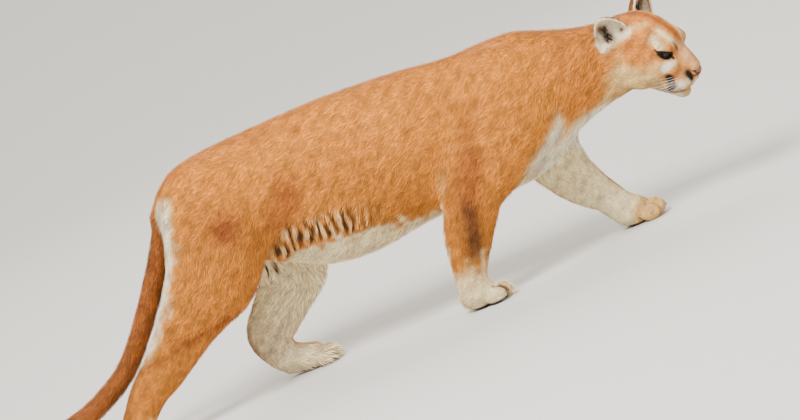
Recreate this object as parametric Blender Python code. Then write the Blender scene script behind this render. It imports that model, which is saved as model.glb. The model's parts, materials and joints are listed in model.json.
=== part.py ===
"""A cougar in mid stride, life size, in metres: +X forward, +Y to its left, +Z up, paws on z = 0.

The flesh, out to the tips of its coat, is one closed surface worked out from named forms of the
skeleton and muscles. Thin flat cuts then part it where a person would name the parts.
"""
import math

import bmesh
import bpy
import numpy as np
from mathutils import Matrix, Vector

# Thin cuts between parts, grids that the surfaces are worked out on, and the faces that each mesh keeps
CUT = 0.0003
BODY_STEP, LEG_STEP, HEAD_STEP, EAR_STEP = 0.008, 0.0048, 0.0028, 0.0022
BODY_FACES, LEG_FACES, HEAD_FACES, EAR_FACES, BASE_FACES = 5200, 780, 4600, 600, 1500
EAR_GAP = 0.0006

# The head's own frame: its place in the trunk's frame, its turn, and its size against the forms below
HEAD_AT = (0.689, -0.034, 0.394)
HEAD_YAW, HEAD_PITCH, HEAD_ROLL = -30, 38, 7
HEAD_SIZE = 1.06
EYE_AT = (0.0452, 0.0365, 0.0150)
EYE_RADIUS = 0.0140
EYE_GAZE, EYE_SLANT, EYE_DROP = 46, 10, 0.0
EYE_LENS = (0.012, 0.0140, 0.0064)

# Ears: the cup's middle, its radii (depth, half width, half height), its wall, its lean back and outwards,
# and how far each opens outwards, from straight ahead, in degrees
EAR_AT = {-1: (-0.074, 0.064, 0.030), 1: (-0.054, 0.058, 0.036)}
EAR_RADII, EAR_WALL, EAR_NARROWING = (0.024, 0.034, 0.046), 0.0065, 0.22
EAR_BACK, EAR_OUT = {-1: 34, 1: 20}, {-1: 34, 1: 14}
EAR_OPENS = {-1: 46, 1: -16}

# Trunk and neck: x, top, bottom, half width, height of the widest point as a share
TRUNK = [
    (-0.532, 0.500, 0.440, 0.020, 0.50),
    (-0.500, 0.532, 0.400, 0.056, 0.50),
    (-0.454, 0.574, 0.352, 0.088, 0.50),
    (-0.381, 0.590, 0.320, 0.101, 0.50),
    (-0.290, 0.595, 0.272, 0.103, 0.50),
    (-0.200, 0.595, 0.223, 0.112, 0.48),
    (-0.091, 0.594, 0.205, 0.120, 0.47),
    (0.018, 0.587, 0.215, 0.125, 0.47),
    (0.127, 0.576, 0.221, 0.120, 0.46),
    (0.236, 0.560, 0.208, 0.108, 0.46),
    (0.327, 0.558, 0.211, 0.103, 0.45),
    (0.399, 0.553, 0.240, 0.097, 0.46),
    (0.472, 0.526, 0.277, 0.087, 0.48),
    (0.544, 0.500, 0.298, 0.075, 0.50),
    (0.610, 0.487, 0.310, 0.060, 0.50),
    (0.640, 0.478, 0.322, 0.050, 0.50),
]

# Legs, from the trunk to the paw: x, y, z, radius fore and aft, radius sideways
LEGS = {
    "fore_right": [
        (0.335, -0.070, 0.440, 0.085, 0.042),
        (0.335, -0.085, 0.370, 0.088, 0.050),
        (0.260, -0.096, 0.318, 0.088, 0.052),
        (0.180, -0.098, 0.262, 0.074, 0.048),
        (0.142, -0.098, 0.208, 0.066, 0.044),
        (0.121, -0.098, 0.169, 0.059, 0.040),
        (0.106, -0.096, 0.134, 0.051, 0.037),
        (0.094, -0.095, 0.100, 0.043, 0.035),
        (0.085, -0.094, 0.072, 0.039, 0.036),
        (0.083, -0.094, 0.044, 0.038, 0.037),
    ],
    "fore_left": [
        (0.370, 0.070, 0.440, 0.080, 0.042),
        (0.400, 0.083, 0.350, 0.085, 0.048),
        (0.375, 0.088, 0.255, 0.078, 0.048),
        (0.391, 0.090, 0.190, 0.064, 0.042),
        (0.409, 0.090, 0.153, 0.056, 0.038),
        (0.429, 0.090, 0.122, 0.048, 0.034),
        (0.450, 0.089, 0.097, 0.041, 0.032),
        (0.467, 0.088, 0.070, 0.039, 0.033),
        (0.484, 0.088, 0.044, 0.036, 0.035),
    ],
    "hind_right": [
        (-0.400, -0.062, 0.490, 0.090, 0.055),
        (-0.420, -0.080, 0.400, 0.118, 0.058),
        (-0.455, -0.088, 0.330, 0.112, 0.055),
        (-0.500, -0.092, 0.292, 0.094, 0.048),
        (-0.543, -0.092, 0.256, 0.077, 0.041),
        (-0.600, -0.090, 0.209, 0.063, 0.034),
        (-0.651, -0.088, 0.169, 0.054, 0.029),
        (-0.698, -0.087, 0.138, 0.046, 0.029),
        (-0.731, -0.086, 0.106, 0.041, 0.029),
        (-0.762, -0.086, 0.070, 0.038, 0.031),
        (-0.780, -0.086, 0.044, 0.037, 0.033),
    ],
    "hind_left": [
        (-0.360, 0.062, 0.480, 0.090, 0.055),
        (-0.340, 0.080, 0.390, 0.115, 0.058),
        (-0.300, 0.088, 0.300, 0.100, 0.054),
        (-0.280, 0.091, 0.232, 0.078, 0.046),
        (-0.330, 0.091, 0.183, 0.068, 0.038),
        (-0.364, 0.090, 0.152, 0.062, 0.033),
        (-0.396, 0.088, 0.116, 0.055, 0.029),
        (-0.390, 0.086, 0.070, 0.043, 0.029),
        (-0.372, 0.086, 0.044, 0.039, 0.031),
    ],
}

# Muscles that show through the coat, laid on the legs: x, y, z, radius fore and aft, radius sideways
MUSCLES = {
    "triceps_right": [(0.312, -0.094, 0.450, 0.040, 0.024), (0.248, -0.107, 0.385, 0.052, 0.027),
                      (0.182, -0.112, 0.318, 0.036, 0.024)],
    "triceps_left": [(0.330, 0.090, 0.440, 0.040, 0.024), (0.335, 0.102, 0.360, 0.048, 0.026),
                     (0.335, 0.104, 0.290, 0.034, 0.022)],
    "thigh_right": [(-0.395, -0.098, 0.480, 0.060, 0.026), (-0.395, -0.112, 0.405, 0.072, 0.028),
                    (-0.430, -0.116, 0.335, 0.050, 0.024)],
    "thigh_left": [(-0.360, 0.098, 0.470, 0.060, 0.026), (-0.325, 0.112, 0.390, 0.068, 0.027),
                   (-0.300, 0.116, 0.315, 0.048, 0.024)],
    "calf_right": [(-0.505, -0.108, 0.320, 0.040, 0.024), (-0.575, -0.106, 0.258, 0.034, 0.022),
                   (-0.640, -0.098, 0.205, 0.020, 0.016)],
    "calf_left": [(-0.320, 0.112, 0.270, 0.036, 0.022), (-0.345, 0.108, 0.215, 0.030, 0.020),
                  (-0.375, 0.100, 0.165, 0.020, 0.014)],
}

# Paws: middle of the sole, heading in degrees, size against the forms below
PAWS = {
    "fore_right": ((0.098, -0.094), 0, 1.00),
    "fore_left": ((0.510, 0.088), -2, 1.00),
    "hind_right": ((-0.756, -0.086), -4, 0.92),
    "hind_left": ((-0.322, 0.086), 0, 0.96),
}

TAIL = [
    (-0.478, 0.000, 0.516, 0.032, 0.032),
    (-0.510, 0.000, 0.478, 0.029, 0.029),
    (-0.532, 0.000, 0.440, 0.028, 0.028),
    (-0.593, 0.002, 0.350, 0.028, 0.027),
    (-0.667, 0.004, 0.257, 0.027, 0.026),
    (-0.741, 0.008, 0.183, 0.027, 0.026),
    (-0.831, 0.010, 0.136, 0.027, 0.026),
    (-0.905, 0.010, 0.116, 0.027, 0.027),
    (-0.963, 0.010, 0.114, 0.025, 0.025),
    (-1.000, 0.010, 0.119, 0.018, 0.018),
]


FAR = 1.0


def smooth_min(a, b, k):
    if k <= 0:
        return np.minimum(a, b)
    h = np.maximum(k - np.abs(a - b), 0.0) / k
    return np.minimum(a, b) - h * h * k * 0.25


def smooth_max(a, b, k):
    return -smooth_min(-a, -b, k)


def turn(axis, degrees):
    c, s = math.cos(math.radians(degrees)), math.sin(math.radians(degrees))
    i, j = {"x": (1, 2), "y": (2, 0), "z": (0, 1)}[axis]
    m = np.eye(3)
    m[i, i] = m[j, j] = c
    m[i, j], m[j, i] = -s, s
    return m


def ellipse_distance(q, r):
    """Near-exact distance to an ellipsoid of radii r, for points q in its frame."""
    k0 = np.sqrt(((q / r) ** 2).sum(-1))
    k1 = np.sqrt(((q / (r * r)) ** 2).sum(-1))
    return np.where(k0 < 1e-6, -r.min(), k0 * (k0 - 1.0) / np.maximum(k1, 1e-9))


class Ball:
    """An ellipsoid: centre, three radii, and a 3x3 frame whose columns are its axes."""
    def __init__(self, centre, radii, frame=None):
        self.c = np.array(centre, float)
        self.r = np.broadcast_to(np.array(radii, float), (3,)).copy()
        self.m = np.eye(3) if frame is None else frame
        reach = np.sqrt(((self.m * self.r) ** 2).sum(1))
        self.low, self.high = self.c - reach, self.c + reach

    def __call__(self, p):
        return ellipse_distance((p - self.c) @ self.m, self.r)


def smooth_path(points, per_span):
    """A Catmull-Rom curve through rows of numbers."""
    p = np.array(points, float)
    p = np.vstack([2 * p[0] - p[1], p, 2 * p[-1] - p[-2]])
    t = np.linspace(0, 1, per_span, endpoint=False)[:, None]
    rows = []
    for a, b, c, d in zip(p, p[1:], p[2:], p[3:]):
        rows.append(0.5 * (2 * b + (c - a) * t + (2 * a - 5 * b + 4 * c - d) * t ** 2
                           + (3 * b - a - 3 * c + d) * t ** 3))
    return np.vstack(rows + [p[-2:-1]])


class Limb:
    """A tapering tube through joints (x, y, z, radius fore and aft, radius sideways)."""
    def __init__(self, joints, side=(0, 1, 0), per_span=4):
        rows = smooth_path(joints, per_span)
        self.p, self.r = rows[:, :3], rows[:, 3:5]
        self.side = np.array(side, float) / np.linalg.norm(side)
        big = self.r.max(1)[:, None]
        self.low, self.high = (self.p - big).min(0), (self.p + big).max(0)

    def __call__(self, p):
        best = np.full(len(p), FAR)
        for a, b, ra, rb in zip(self.p, self.p[1:], self.r, self.r[1:]):
            d = b - a
            rel = p - a
            t = np.clip(rel @ d / (d @ d), 0, 1)
            q = rel - t[:, None] * d
            r = ra + t[:, None] * (rb - ra)
            across = q @ self.side
            along = np.sqrt(np.maximum((q * q).sum(1) - across * across, 0))
            k0 = np.sqrt((along / r[:, 0]) ** 2 + (across / r[:, 1]) ** 2)
            k1 = np.sqrt((along / r[:, 0] ** 2) ** 2 + (across / r[:, 1] ** 2) ** 2)
            dist = np.where(k0 < 1e-6, -r.min(1), k0 * (k0 - 1) / np.maximum(k1, 1e-9))
            best = np.minimum(best, dist)
        return best


class Trunk:
    """Trunk and neck, lofted along X through rows of x, top, bottom, half width and widest height."""
    def __init__(self, stations):
        rows = smooth_path(stations, 10)
        order = np.argsort(rows[:, 0])
        self.rows = rows[order]
        self.low = np.array([self.rows[0, 0], -self.rows[:, 3].max(), self.rows[:, 2].min()])
        self.high = np.array([self.rows[-1, 0], self.rows[:, 3].max(), self.rows[:, 1].max()])

    def __call__(self, p):
        x = np.clip(p[:, 0], self.rows[0, 0], self.rows[-1, 0])
        top, bottom, wide, mid = (np.interp(x, self.rows[:, 0], self.rows[:, i]) for i in range(1, 5))
        centre = bottom + (top - bottom) * mid
        up = p[:, 2] - centre
        tall = np.where(up > 0, top - centre, centre - bottom)
        k0 = np.sqrt((p[:, 1] / wide) ** 2 + (up / tall) ** 2)
        k1 = np.sqrt((p[:, 1] / wide ** 2) ** 2 + (up / tall ** 2) ** 2)
        d = np.where(k0 < 1e-6, -wide, k0 * (k0 - 1) / np.maximum(k1, 1e-9))
        beyond = np.abs(p[:, 0] - x)
        return np.where(beyond > 0, np.sqrt(np.maximum(d, 0) ** 2 + beyond ** 2), d)


class Cup:
    """The thin shell of an ellipsoid, open on its +X side: the cup of an ear, narrower towards its top."""
    def __init__(self, centre, radii, frame, thick, mouth_at, narrowing):
        self.ball = Ball(centre, radii, frame)
        self.low, self.high = self.ball.low - thick, self.ball.high + thick
        self.thick, self.mouth_at, self.narrowing = thick, mouth_at, narrowing

    def __call__(self, p):
        q = (p - self.ball.c) @ self.ball.m
        up = np.clip(q[:, 2] / self.ball.r[2], -0.2, 1.0)
        q = q / np.stack([np.ones_like(up), 1.0 - self.narrowing * up, np.ones_like(up)], 1)
        shell = np.abs(ellipse_distance(q, self.ball.r)) - self.thick / 2
        return smooth_max(shell, q[:, 0] - self.mouth_at, 0.004)


class Placed:
    """A form moved into a frame and scaled, and mirrored across its y = 0 where both is set."""
    def __init__(self, form, origin, frame, size=1.0, both=False):
        self.form, self.both, self.size = form, both, size
        self.o, self.m = np.array(origin, float), frame
        low, high = form.low.copy(), form.high.copy()
        if both:
            reach = max(abs(low[1]), abs(high[1]))
            low[1], high[1] = -reach, reach
        corners = np.array([[x, y, z] for x in (low[0], high[0]) for y in (low[1], high[1])
                            for z in (low[2], high[2])])
        world = corners @ self.m.T * size + self.o
        self.low, self.high = world.min(0), world.max(0)

    def __call__(self, p):
        q = (p - self.o) @ self.m / self.size
        if self.both:
            q[:, 1] = np.abs(q[:, 1])
        return self.form(q) * self.size


class Field:
    """Forms joined and cut one after another. at() gives the signed distance, negative inside."""
    def __init__(self):
        self.steps = []

    def add(self, form, blend=0.02):
        self.steps.append(("add", form, blend))

    def cut(self, form, blend=0.005):
        self.steps.append(("cut", form, blend))

    def at(self, p):
        d = np.full(len(p), FAR)
        for kind, form, k in self.steps:
            margin = k + 0.03
            near = np.flatnonzero(((p > form.low - margin) & (p < form.high + margin)).all(1))
            if not len(near):
                continue
            v = form(p[near])
            if kind == "add":
                d[near] = smooth_min(d[near], v, k)
            else:
                d[near] = smooth_max(d[near], -v, k)
        return d


def sample(field, low, high, step, levels=3):
    """Field values on a regular grid, worked out again near the surface at each halving of the step."""
    low, high = np.array(low, float), np.array(high, float)
    wide = step * 2 ** levels
    count = np.ceil((high - low) / wide).astype(int) + 1
    corners = np.stack(np.meshgrid(*[np.arange(n) for n in count], indexing="ij"), -1).reshape(-1, 3)
    grid = field.at(low + wide * corners).reshape(count).astype(np.float32)
    octant = np.stack(np.meshgrid(*[np.arange(2)] * 3, indexing="ij"), -1).reshape(-1, 3)
    for level in range(levels):
        near = np.argwhere(np.abs(grid) < 1.9 * wide)
        count = (np.array(grid.shape) - 1) * 2 + 1
        spread = [np.minimum(np.arange(n) // 2, grid.shape[i] - 1) for i, n in enumerate(count)]
        grid = grid[np.ix_(*spread)].copy()
        wide /= 2
        near = (near[:, None] * 2 + octant[None]).reshape(-1, 3)
        near = near[(near < count).all(1)]
        for start in range(0, len(near), 200000):
            block = near[start:start + 200000]
            grid[block[:, 0], block[:, 1], block[:, 2]] = field.at(low + wide * block)
    return grid, low


def surface_nets(f, low, step):
    """Vertices and quads of the zero surface of grid f."""
    inside = f < 0
    n = np.array(f.shape)
    mixed = np.zeros(n - 1, np.int8)
    for dx in (0, 1):
        for dy in (0, 1):
            for dz in (0, 1):
                mixed += inside[dx:n[0] - 1 + dx, dy:n[1] - 1 + dy, dz:n[2] - 1 + dz]
    active = (mixed > 0) & (mixed < 8)
    cells = np.argwhere(active)
    number = np.full(n - 1, -1, np.int32)
    number[active] = np.arange(len(cells))
    total = np.zeros((len(cells), 3))
    count = np.zeros(len(cells))
    corner = lambda c, o: f[c[:, 0] + o[0], c[:, 1] + o[1], c[:, 2] + o[2]]
    for ax in range(3):
        others = [a for a in range(3) if a != ax]
        for s in (0, 1):
            for t in (0, 1):
                o = [0, 0, 0]
                o[others[0]], o[others[1]] = s, t
                e = list(o)
                e[ax] = 1
                a, b = corner(cells, o), corner(cells, e)
                cross = (a < 0) != (b < 0)
                w = np.where(cross, a / np.where(cross, a - b, 1), 0)
                pt = np.tile(np.array(o, float), (len(cells), 1))
                pt[:, ax] += w
                total += pt * cross[:, None]
                count += cross
    verts = low + step * (cells + total / count[:, None])
    quads = []
    for ax in range(3):
        sl0, sl1 = [slice(None)] * 3, [slice(None)] * 3
        sl0[ax], sl1[ax] = slice(0, -1), slice(1, None)
        cross = inside[tuple(sl0)] != inside[tuple(sl1)]
        e = np.argwhere(cross)
        u, v = [a for a in range(3) if a != ax]
        e = e[(e[:, u] > 0) & (e[:, v] > 0) & (e[:, u] < n[u] - 1) & (e[:, v] < n[v] - 1)]
        starts = inside[e[:, 0], e[:, 1], e[:, 2]]
        ring = []
        for du, dv in ((-1, -1), (0, -1), (0, 0), (-1, 0)):
            c = e.copy()
            c[:, u] += du
            c[:, v] += dv
            ring.append(number[c[:, 0], c[:, 1], c[:, 2]])
        ring = np.stack(ring, 1)
        flip = starts if ax != 1 else ~starts
        ring[~flip] = ring[~flip][:, ::-1]
        quads.append(ring)
    return verts, np.vstack(quads)


def fill_checkered(f):
    """Fills grid points where inside and outside meet corner to corner, so that each edge has two faces."""
    tiny = -1e-5
    while True:
        found = False
        for axis in range(3):
            u, v = [other for other in range(3) if other != axis]

            def corner(du, dv):
                cut = [slice(None)] * 3
                cut[u] = slice(du, f.shape[u] - 1 + du)
                cut[v] = slice(dv, f.shape[v] - 1 + dv)
                return tuple(cut)

            a, b, c, d = (f[corner(*at)] < 0 for at in ((0, 0), (1, 0), (0, 1), (1, 1)))
            for bad, at in (((a & d & ~b & ~c), (1, 0)), ((b & c & ~a & ~d), (0, 0))):
                if bad.any():
                    found = True
                    f[corner(*at)][bad] = tiny
        if not found:
            return f


def head_frame():
    return turn("z", HEAD_YAW) @ turn("y", HEAD_PITCH) @ turn("x", HEAD_ROLL)


def head_point(local, side=1):
    x, y, z = local
    return np.array(HEAD_AT) + head_frame() @ (np.array([x, y * side, z]) * HEAD_SIZE)


def add_paw(field, at, heading, size):
    frame = turn("z", heading)
    base = np.array([at[0], at[1], 0.0])

    def ball(centre, radii, blend):
        field.add(Ball(base + frame @ np.array(centre) * size, np.array(radii) * size, frame), blend)

    ball((-0.010, 0, 0.034), (0.044, 0.040, 0.032), 0.022)
    ball((-0.012, 0, 0.012), (0.030, 0.031, 0.013), 0.006)
    for side in (-1, 1):
        ball((0.024, side * 0.0345, 0.0190), (0.026, 0.0155, 0.0205), 0.006)
    for side in (-1, 1):
        ball((0.037, side * 0.0125, 0.0215), (0.028, 0.0150, 0.0230), 0.005)


def ear_frame(side):
    """The axes of an ear's cup: its opening, its width and its height, for the left ear mirrored by side."""
    lean = turn("x", -EAR_OUT[side]) @ turn("y", -EAR_BACK[side])
    return lean @ turn("z", EAR_OPENS[side])


def add_ear(field, side):
    frame = head_frame() @ np.diag([1, side, 1])
    cup = Cup(EAR_AT[side], EAR_RADII, ear_frame(side), EAR_WALL, 0.004, EAR_NARROWING)
    field.add(Placed(cup, HEAD_AT, frame, HEAD_SIZE), 0.010)


def add_head(field):
    frame = head_frame()

    def put(form, blend, both=False):
        field.add(Placed(form, HEAD_AT, frame, HEAD_SIZE, both), blend)

    def carve(form, blend, both=False):
        field.cut(Placed(form, HEAD_AT, frame, HEAD_SIZE, both), blend)

    put(Ball((-0.020, 0, 0.010), (0.078, 0.058, 0.056)), 0.035)
    put(Ball((0.028, 0, 0.015), (0.041, 0.044, 0.037)), 0.020)
    put(Ball((0.010, 0.042, -0.020), (0.048, 0.024, 0.032), turn("y", 20)), 0.020, both=True)
    put(Ball((-0.006, 0.042, -0.056), (0.046, 0.028, 0.037)), 0.022, both=True)
    jaw = [(-0.030, 0, -0.066, 0.034, 0.042), (0.030, 0, -0.074, 0.027, 0.033),
           (0.082, 0, -0.081, 0.0175, 0.021)]
    put(Limb(jaw), 0.018)
    bridge = [(0.036, 0, 0.007, 0.027, 0.027), (0.074, 0, -0.001, 0.022, 0.0225),
              (0.103, 0, -0.015, 0.0165, 0.0200)]
    put(Limb(bridge), 0.014)
    put(Ball((0.076, 0, -0.040), (0.036, 0.031, 0.032)), 0.014)
    put(Ball((0.050, 0, -0.044), (0.038, 0.040, 0.036)), 0.018)
    put(Ball((0.102, 0, -0.047), (0.014, 0.015, 0.021)), 0.006)
    put(Ball((0.089, 0.0175, -0.047), (0.0265, 0.0205, 0.0215)), 0.007, both=True)
    put(Ball((0.073, 0.0215, -0.062), (0.022, 0.0160, 0.0210)), 0.008, both=True)
    put(Ball((0.092, 0, -0.082), (0.0170, 0.0180, 0.0155)), 0.008)
    put(Ball((0.040, 0.034, 0.024), (0.022, 0.019, 0.013), turn("z", 20)), 0.016, both=True)
    put(Ball(EYE_AT, EYE_RADIUS / HEAD_SIZE + 0.0022), 0.008, both=True)
    put(Ball((0.052, 0.026, -0.022), (0.033, 0.021, 0.025), turn("z", 20)), 0.020, both=True)
    put(Ball((0.1135, 0, -0.0235), (0.0110, 0.0175, 0.0125)), 0.004)
    lips = [(0.119, 0.000, -0.0685, 0.0032, 0.0032), (0.107, 0.015, -0.0705, 0.0034, 0.0034),
            (0.092, 0.025, -0.0765, 0.0034, 0.0034), (0.077, 0.031, -0.0845, 0.0034, 0.0034),
            (0.066, 0.034, -0.0860, 0.0020, 0.0020)]
    carve(Limb(lips), 0.004, both=True)
    carve(Limb([(0.1185, 0, -0.034, 0.0022, 0.0022), (0.1180, 0, -0.066, 0.0026, 0.0026)]), 0.004)
    carve(Ball((0.1220, 0.0100, -0.0255), (0.0062, 0.0038, 0.0042), turn("z", 25)), 0.002, both=True)


def cougar(ears=True):
    field = Field()
    field.add(Trunk(TRUNK), 0)
    for side in (-1, 1):
        field.add(Ball((0.312, side * 0.062, 0.440), (0.080, 0.042, 0.100), turn("y", 12)), 0.045)
        field.add(Ball((-0.425, side * 0.055, 0.480), (0.088, 0.050, 0.082)), 0.045)
    for name in LEGS:
        field.add(Limb(LEGS[name]), 0.045)
        add_paw(field, *PAWS[name])
    for joints in MUSCLES.values():
        field.add(Limb(joints), 0.016)
    field.add(Limb(TAIL), 0.025)
    add_head(field)
    for side in (-1, 1) if ears else ():
        add_ear(field, side)
    return field


# Flat cuts between parts: middle, yaw and pitch of the cut's normal in degrees, half width, half height
SLABS = [
    ((0.615, -0.010, 0.410), -18, -27, 0.15, 0.19),
    ((0.475, 0.000, 0.410), 0, -17, 0.16, 0.20),
    ((0.030, 0.000, 0.400), 0, 0, 0.20, 0.24),
    ((-0.120, 0.000, 0.400), 0, 0, 0.20, 0.24),
    ((-0.547, 0.000, 0.417), 180, 56, 0.033, 0.042),
    ((-0.645, 0.003, 0.284), 180, 52, 0.043, 0.043),
    ((-0.772, 0.009, 0.165), 180, 35, 0.043, 0.043),
    ((-0.893, 0.010, 0.119), 180, 12, 0.043, 0.043),
    ((0.091, -0.095, 0.080), 180, 72, 0.06, 0.06),
    ((0.458, 0.088, 0.084), 0, 58, 0.06, 0.06),
    ((-0.689, -0.087, 0.149), 180, 48, 0.037, 0.07),
    ((-0.765, -0.086, 0.072), 180, 78, 0.052, 0.058),
    ((-0.388, 0.088, 0.125), 180, 58, 0.05, 0.09),
    ((-0.382, 0.086, 0.062), 0, 84, 0.05, 0.06),
]

# Round cuts that part a shoulder or a hip from the trunk: middle of the inner face, which side,
# tilt in degrees, radius along X, radius upwards
CANS = [
    ((0.240, -0.058, 0.315), -1, 22, 0.190, 0.155),
    ((0.370, 0.056, 0.305), 1, 22, 0.150, 0.155),
    ((-0.425, -0.050, 0.375), -1, 18, 0.150, 0.150),
    ((-0.330, 0.050, 0.345), 1, 18, 0.175, 0.165),
]
CAN_DEPTH = 0.16

# Boxes that the surfaces are worked out in: lowest corner, highest corner
BODY_BOX = ((-1.030, -0.200, 0.070), (0.720, 0.200, 0.620))
HEAD_BOX = ((0.540, -0.190, 0.220), (0.850, 0.130, 0.560))
EAR_REACH = 0.075
LEG_BOXES = {
    "fore_right": ((0.010, -0.160, -0.012), (0.290, -0.025, 0.290)),
    "fore_left": ((0.270, 0.025, -0.012), (0.610, 0.150, 0.270)),
    "hind_right": ((-0.870, -0.140, -0.012), (-0.400, -0.045, 0.400)),
    "hind_left": ((-0.490, 0.030, -0.012), (-0.150, 0.145, 0.270)),
}

# Parts of each mesh: name and a point near the part's middle
BODY_PARTS = {
    "torso_front": (0.25, 0.00, 0.40),
    "torso_middle": (-0.035, 0.00, 0.40),
    "torso_rear": (-0.32, 0.00, 0.44),
    "neck": (0.55, 0.00, 0.40),
    "upper_arm_right": (0.24, -0.11, 0.30),
    "upper_arm_left": (0.38, 0.10, 0.28),
    "thigh_right": (-0.43, -0.11, 0.36),
    "thigh_left": (-0.32, 0.11, 0.34),
    "tail_base": (-0.600, 0.00, 0.352),
    "tail_upper": (-0.710, 0.00, 0.225),
    "tail_lower": (-0.835, 0.01, 0.140),
    "tail_tip": (-0.950, 0.01, 0.118),
}
LEG_PARTS = {
    "fore_right": {"forearm_right": (0.115, -0.096, 0.145), "paw_fore_right": (0.095, -0.094, 0.035)},
    "fore_left": {"forearm_left": (0.430, 0.090, 0.140), "paw_fore_left": (0.505, 0.088, 0.035)},
    "hind_right": {
        "shin_right": (-0.61, -0.09, 0.212),
        "metatarsus_right": (-0.745, -0.087, 0.100),
        "paw_hind_right": (-0.770, -0.086, 0.025),
    },
    "hind_left": {
        "shin_left": (-0.335, 0.091, 0.180),
        "metatarsus_left": (-0.400, 0.088, 0.090),
        "paw_hind_left": (-0.320, 0.086, 0.025),
    },
}
HEAD_PARTS = {"head": (0.70, -0.035, 0.385)}
EARS = {"ear_right": -1, "ear_left": 1}

COATS = {
    "tawny": (0.60, 0.33, 0.13),
    "tail": (0.42, 0.23, 0.11),
    "dark_tip": (0.12, 0.07, 0.05),
    "pale": (0.72, 0.60, 0.45),
    "eye": (0.10, 0.06, 0.02),
}


def clear_scene():
    for old in list(bpy.data.objects):
        bpy.data.objects.remove(old, do_unlink=True)


def coat_material(name, coat):
    material = bpy.data.materials.new(name)
    material.use_nodes = True
    shader = material.node_tree.nodes["Principled BSDF"]
    shader.inputs["Base Color"].default_value = (*COATS[coat], 1.0)
    shader.inputs["Roughness"].default_value = 0.1 if coat == "eye" else 0.85
    shader.inputs["Metallic"].default_value = 0.0
    return material


def new_object(name, mesh):
    thing = bpy.data.objects.new(name, mesh)
    bpy.context.scene.collection.objects.link(thing)
    return thing


def apply_modifiers(thing):
    evaluated = thing.evaluated_get(bpy.context.evaluated_depsgraph_get())
    mesh = bpy.data.meshes.new_from_object(evaluated)
    thing.modifiers.clear()
    thing.data = mesh


def flesh_in_box(name, field, box, step, faces):
    """The closed surface of the field inside a box, brought down to about the number of faces given."""
    grid, low = sample(field, *box, step)
    for axis in range(3):
        line = low[axis] + step * np.arange(grid.shape[axis])
        wall = np.maximum(low[axis] + 1.5 * step - line, line - box[1][axis] + 1.5 * step)
        shape = [1, 1, 1]
        shape[axis] = -1
        grid = np.maximum(grid, wall.reshape(shape).astype(np.float32))
    points, quads = surface_nets(fill_checkered(grid), low, step)
    mesh = bpy.data.meshes.new(name)
    mesh.from_pydata(points.tolist(), [], quads.tolist())
    thing = new_object(name, mesh)
    thin_out = thing.modifiers.new("thin_out", "DECIMATE")
    thin_out.ratio = min(1.0, faces / (2 * len(quads)))
    apply_modifiers(thing)
    return thing


def slab(middle, yaw, pitch, half_width, half_height):
    return (Matrix.Translation(middle) @ Matrix.Rotation(math.radians(yaw), 4, "Z")
            @ Matrix.Rotation(math.radians(pitch), 4, "Y")
            @ Matrix.Diagonal((CUT, 2 * half_width, 2 * half_height, 1.0)))


def floor_block():
    return Matrix.Translation((-0.1, 0, -0.05)) @ Matrix.Diagonal((2.4, 0.8, 0.1, 1.0))


def add_can(shape, middle, side, tilt, along, upwards):
    """An open can, its rim outside the body: the face is filled, and the wall is drawn out from it."""
    place = (Matrix.Translation(middle) @ Matrix.Rotation(math.radians(-90 * side), 4, "X")
             @ Matrix.Rotation(math.radians(-tilt * side), 4, "X") @ Matrix.Diagonal((along, upwards, 1, 1)))
    ring = bmesh.ops.create_circle(shape, cap_ends=True, radius=1.0, segments=36, matrix=place)
    edges = {edge for vert in ring["verts"] for edge in vert.link_edges}
    wall = bmesh.ops.extrude_edge_only(shape, edges=list(edges))
    rim = [item for item in wall["geom"] if isinstance(item, bmesh.types.BMVert)]
    out = Matrix.Rotation(math.radians(-tilt * side), 4, "X") @ Vector((0, side, 0))
    bmesh.ops.translate(shape, verts=rim, vec=out * CAN_DEPTH)


def as_cutter(name, shape, wall=0.0):
    mesh = bpy.data.meshes.new(name)
    bmesh.ops.recalc_face_normals(shape, faces=shape.faces)
    shape.to_mesh(mesh)
    shape.free()
    thing = new_object(name, mesh)
    thing.hide_render = True
    thing.display_type = "WIRE"
    if wall:
        shell = thing.modifiers.new("wall", "SOLIDIFY")
        shell.thickness = wall
        shell.offset = 0.0
        shell.use_even_offset = True
        apply_modifiers(thing)
    return thing


def part_cutters():
    cutters = []
    for number, cut in enumerate(CANS):
        can = bmesh.new()
        add_can(can, *cut)
        cutters.append(as_cutter("round_cut_%d" % number, can, CUT))
    flat = bmesh.new()
    for cut in SLABS:
        bmesh.ops.create_cube(flat, size=1.0, matrix=slab(*cut))
    bmesh.ops.create_cube(flat, size=1.0, matrix=floor_block())
    return cutters + [as_cutter("flat_cuts", flat)]


def subtract(thing, tool):
    cut = thing.modifiers.new("cut", "BOOLEAN")
    cut.operation = "DIFFERENCE"
    cut.solver = "EXACT"
    cut.use_self = True
    cut.object = tool
    apply_modifiers(thing)


def islands(mesh):
    """The faces of each separate body in a mesh."""
    shape = bmesh.new()
    shape.from_mesh(mesh)
    shape.faces.ensure_lookup_table()
    left = set(range(len(shape.faces)))
    groups = []
    while left:
        stack = [left.pop()]
        group = list(stack)
        while stack:
            for edge in shape.faces[stack.pop()].edges:
                for face in edge.link_faces:
                    if face.index in left:
                        left.discard(face.index)
                        stack.append(face.index)
                        group.append(face.index)
        groups.append(group)
    shape.free()
    return groups


def drop_flaps(shape):
    """Removes pairs of triangles that lie back to back on the same three corners."""
    seen = {}
    for face in shape.faces:
        seen.setdefault(frozenset(face.verts), []).append(face)
    flaps = [face for pair in seen.values() if len(pair) == 2 for face in pair]
    bmesh.ops.delete(shape, geom=flaps, context="FACES")


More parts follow.
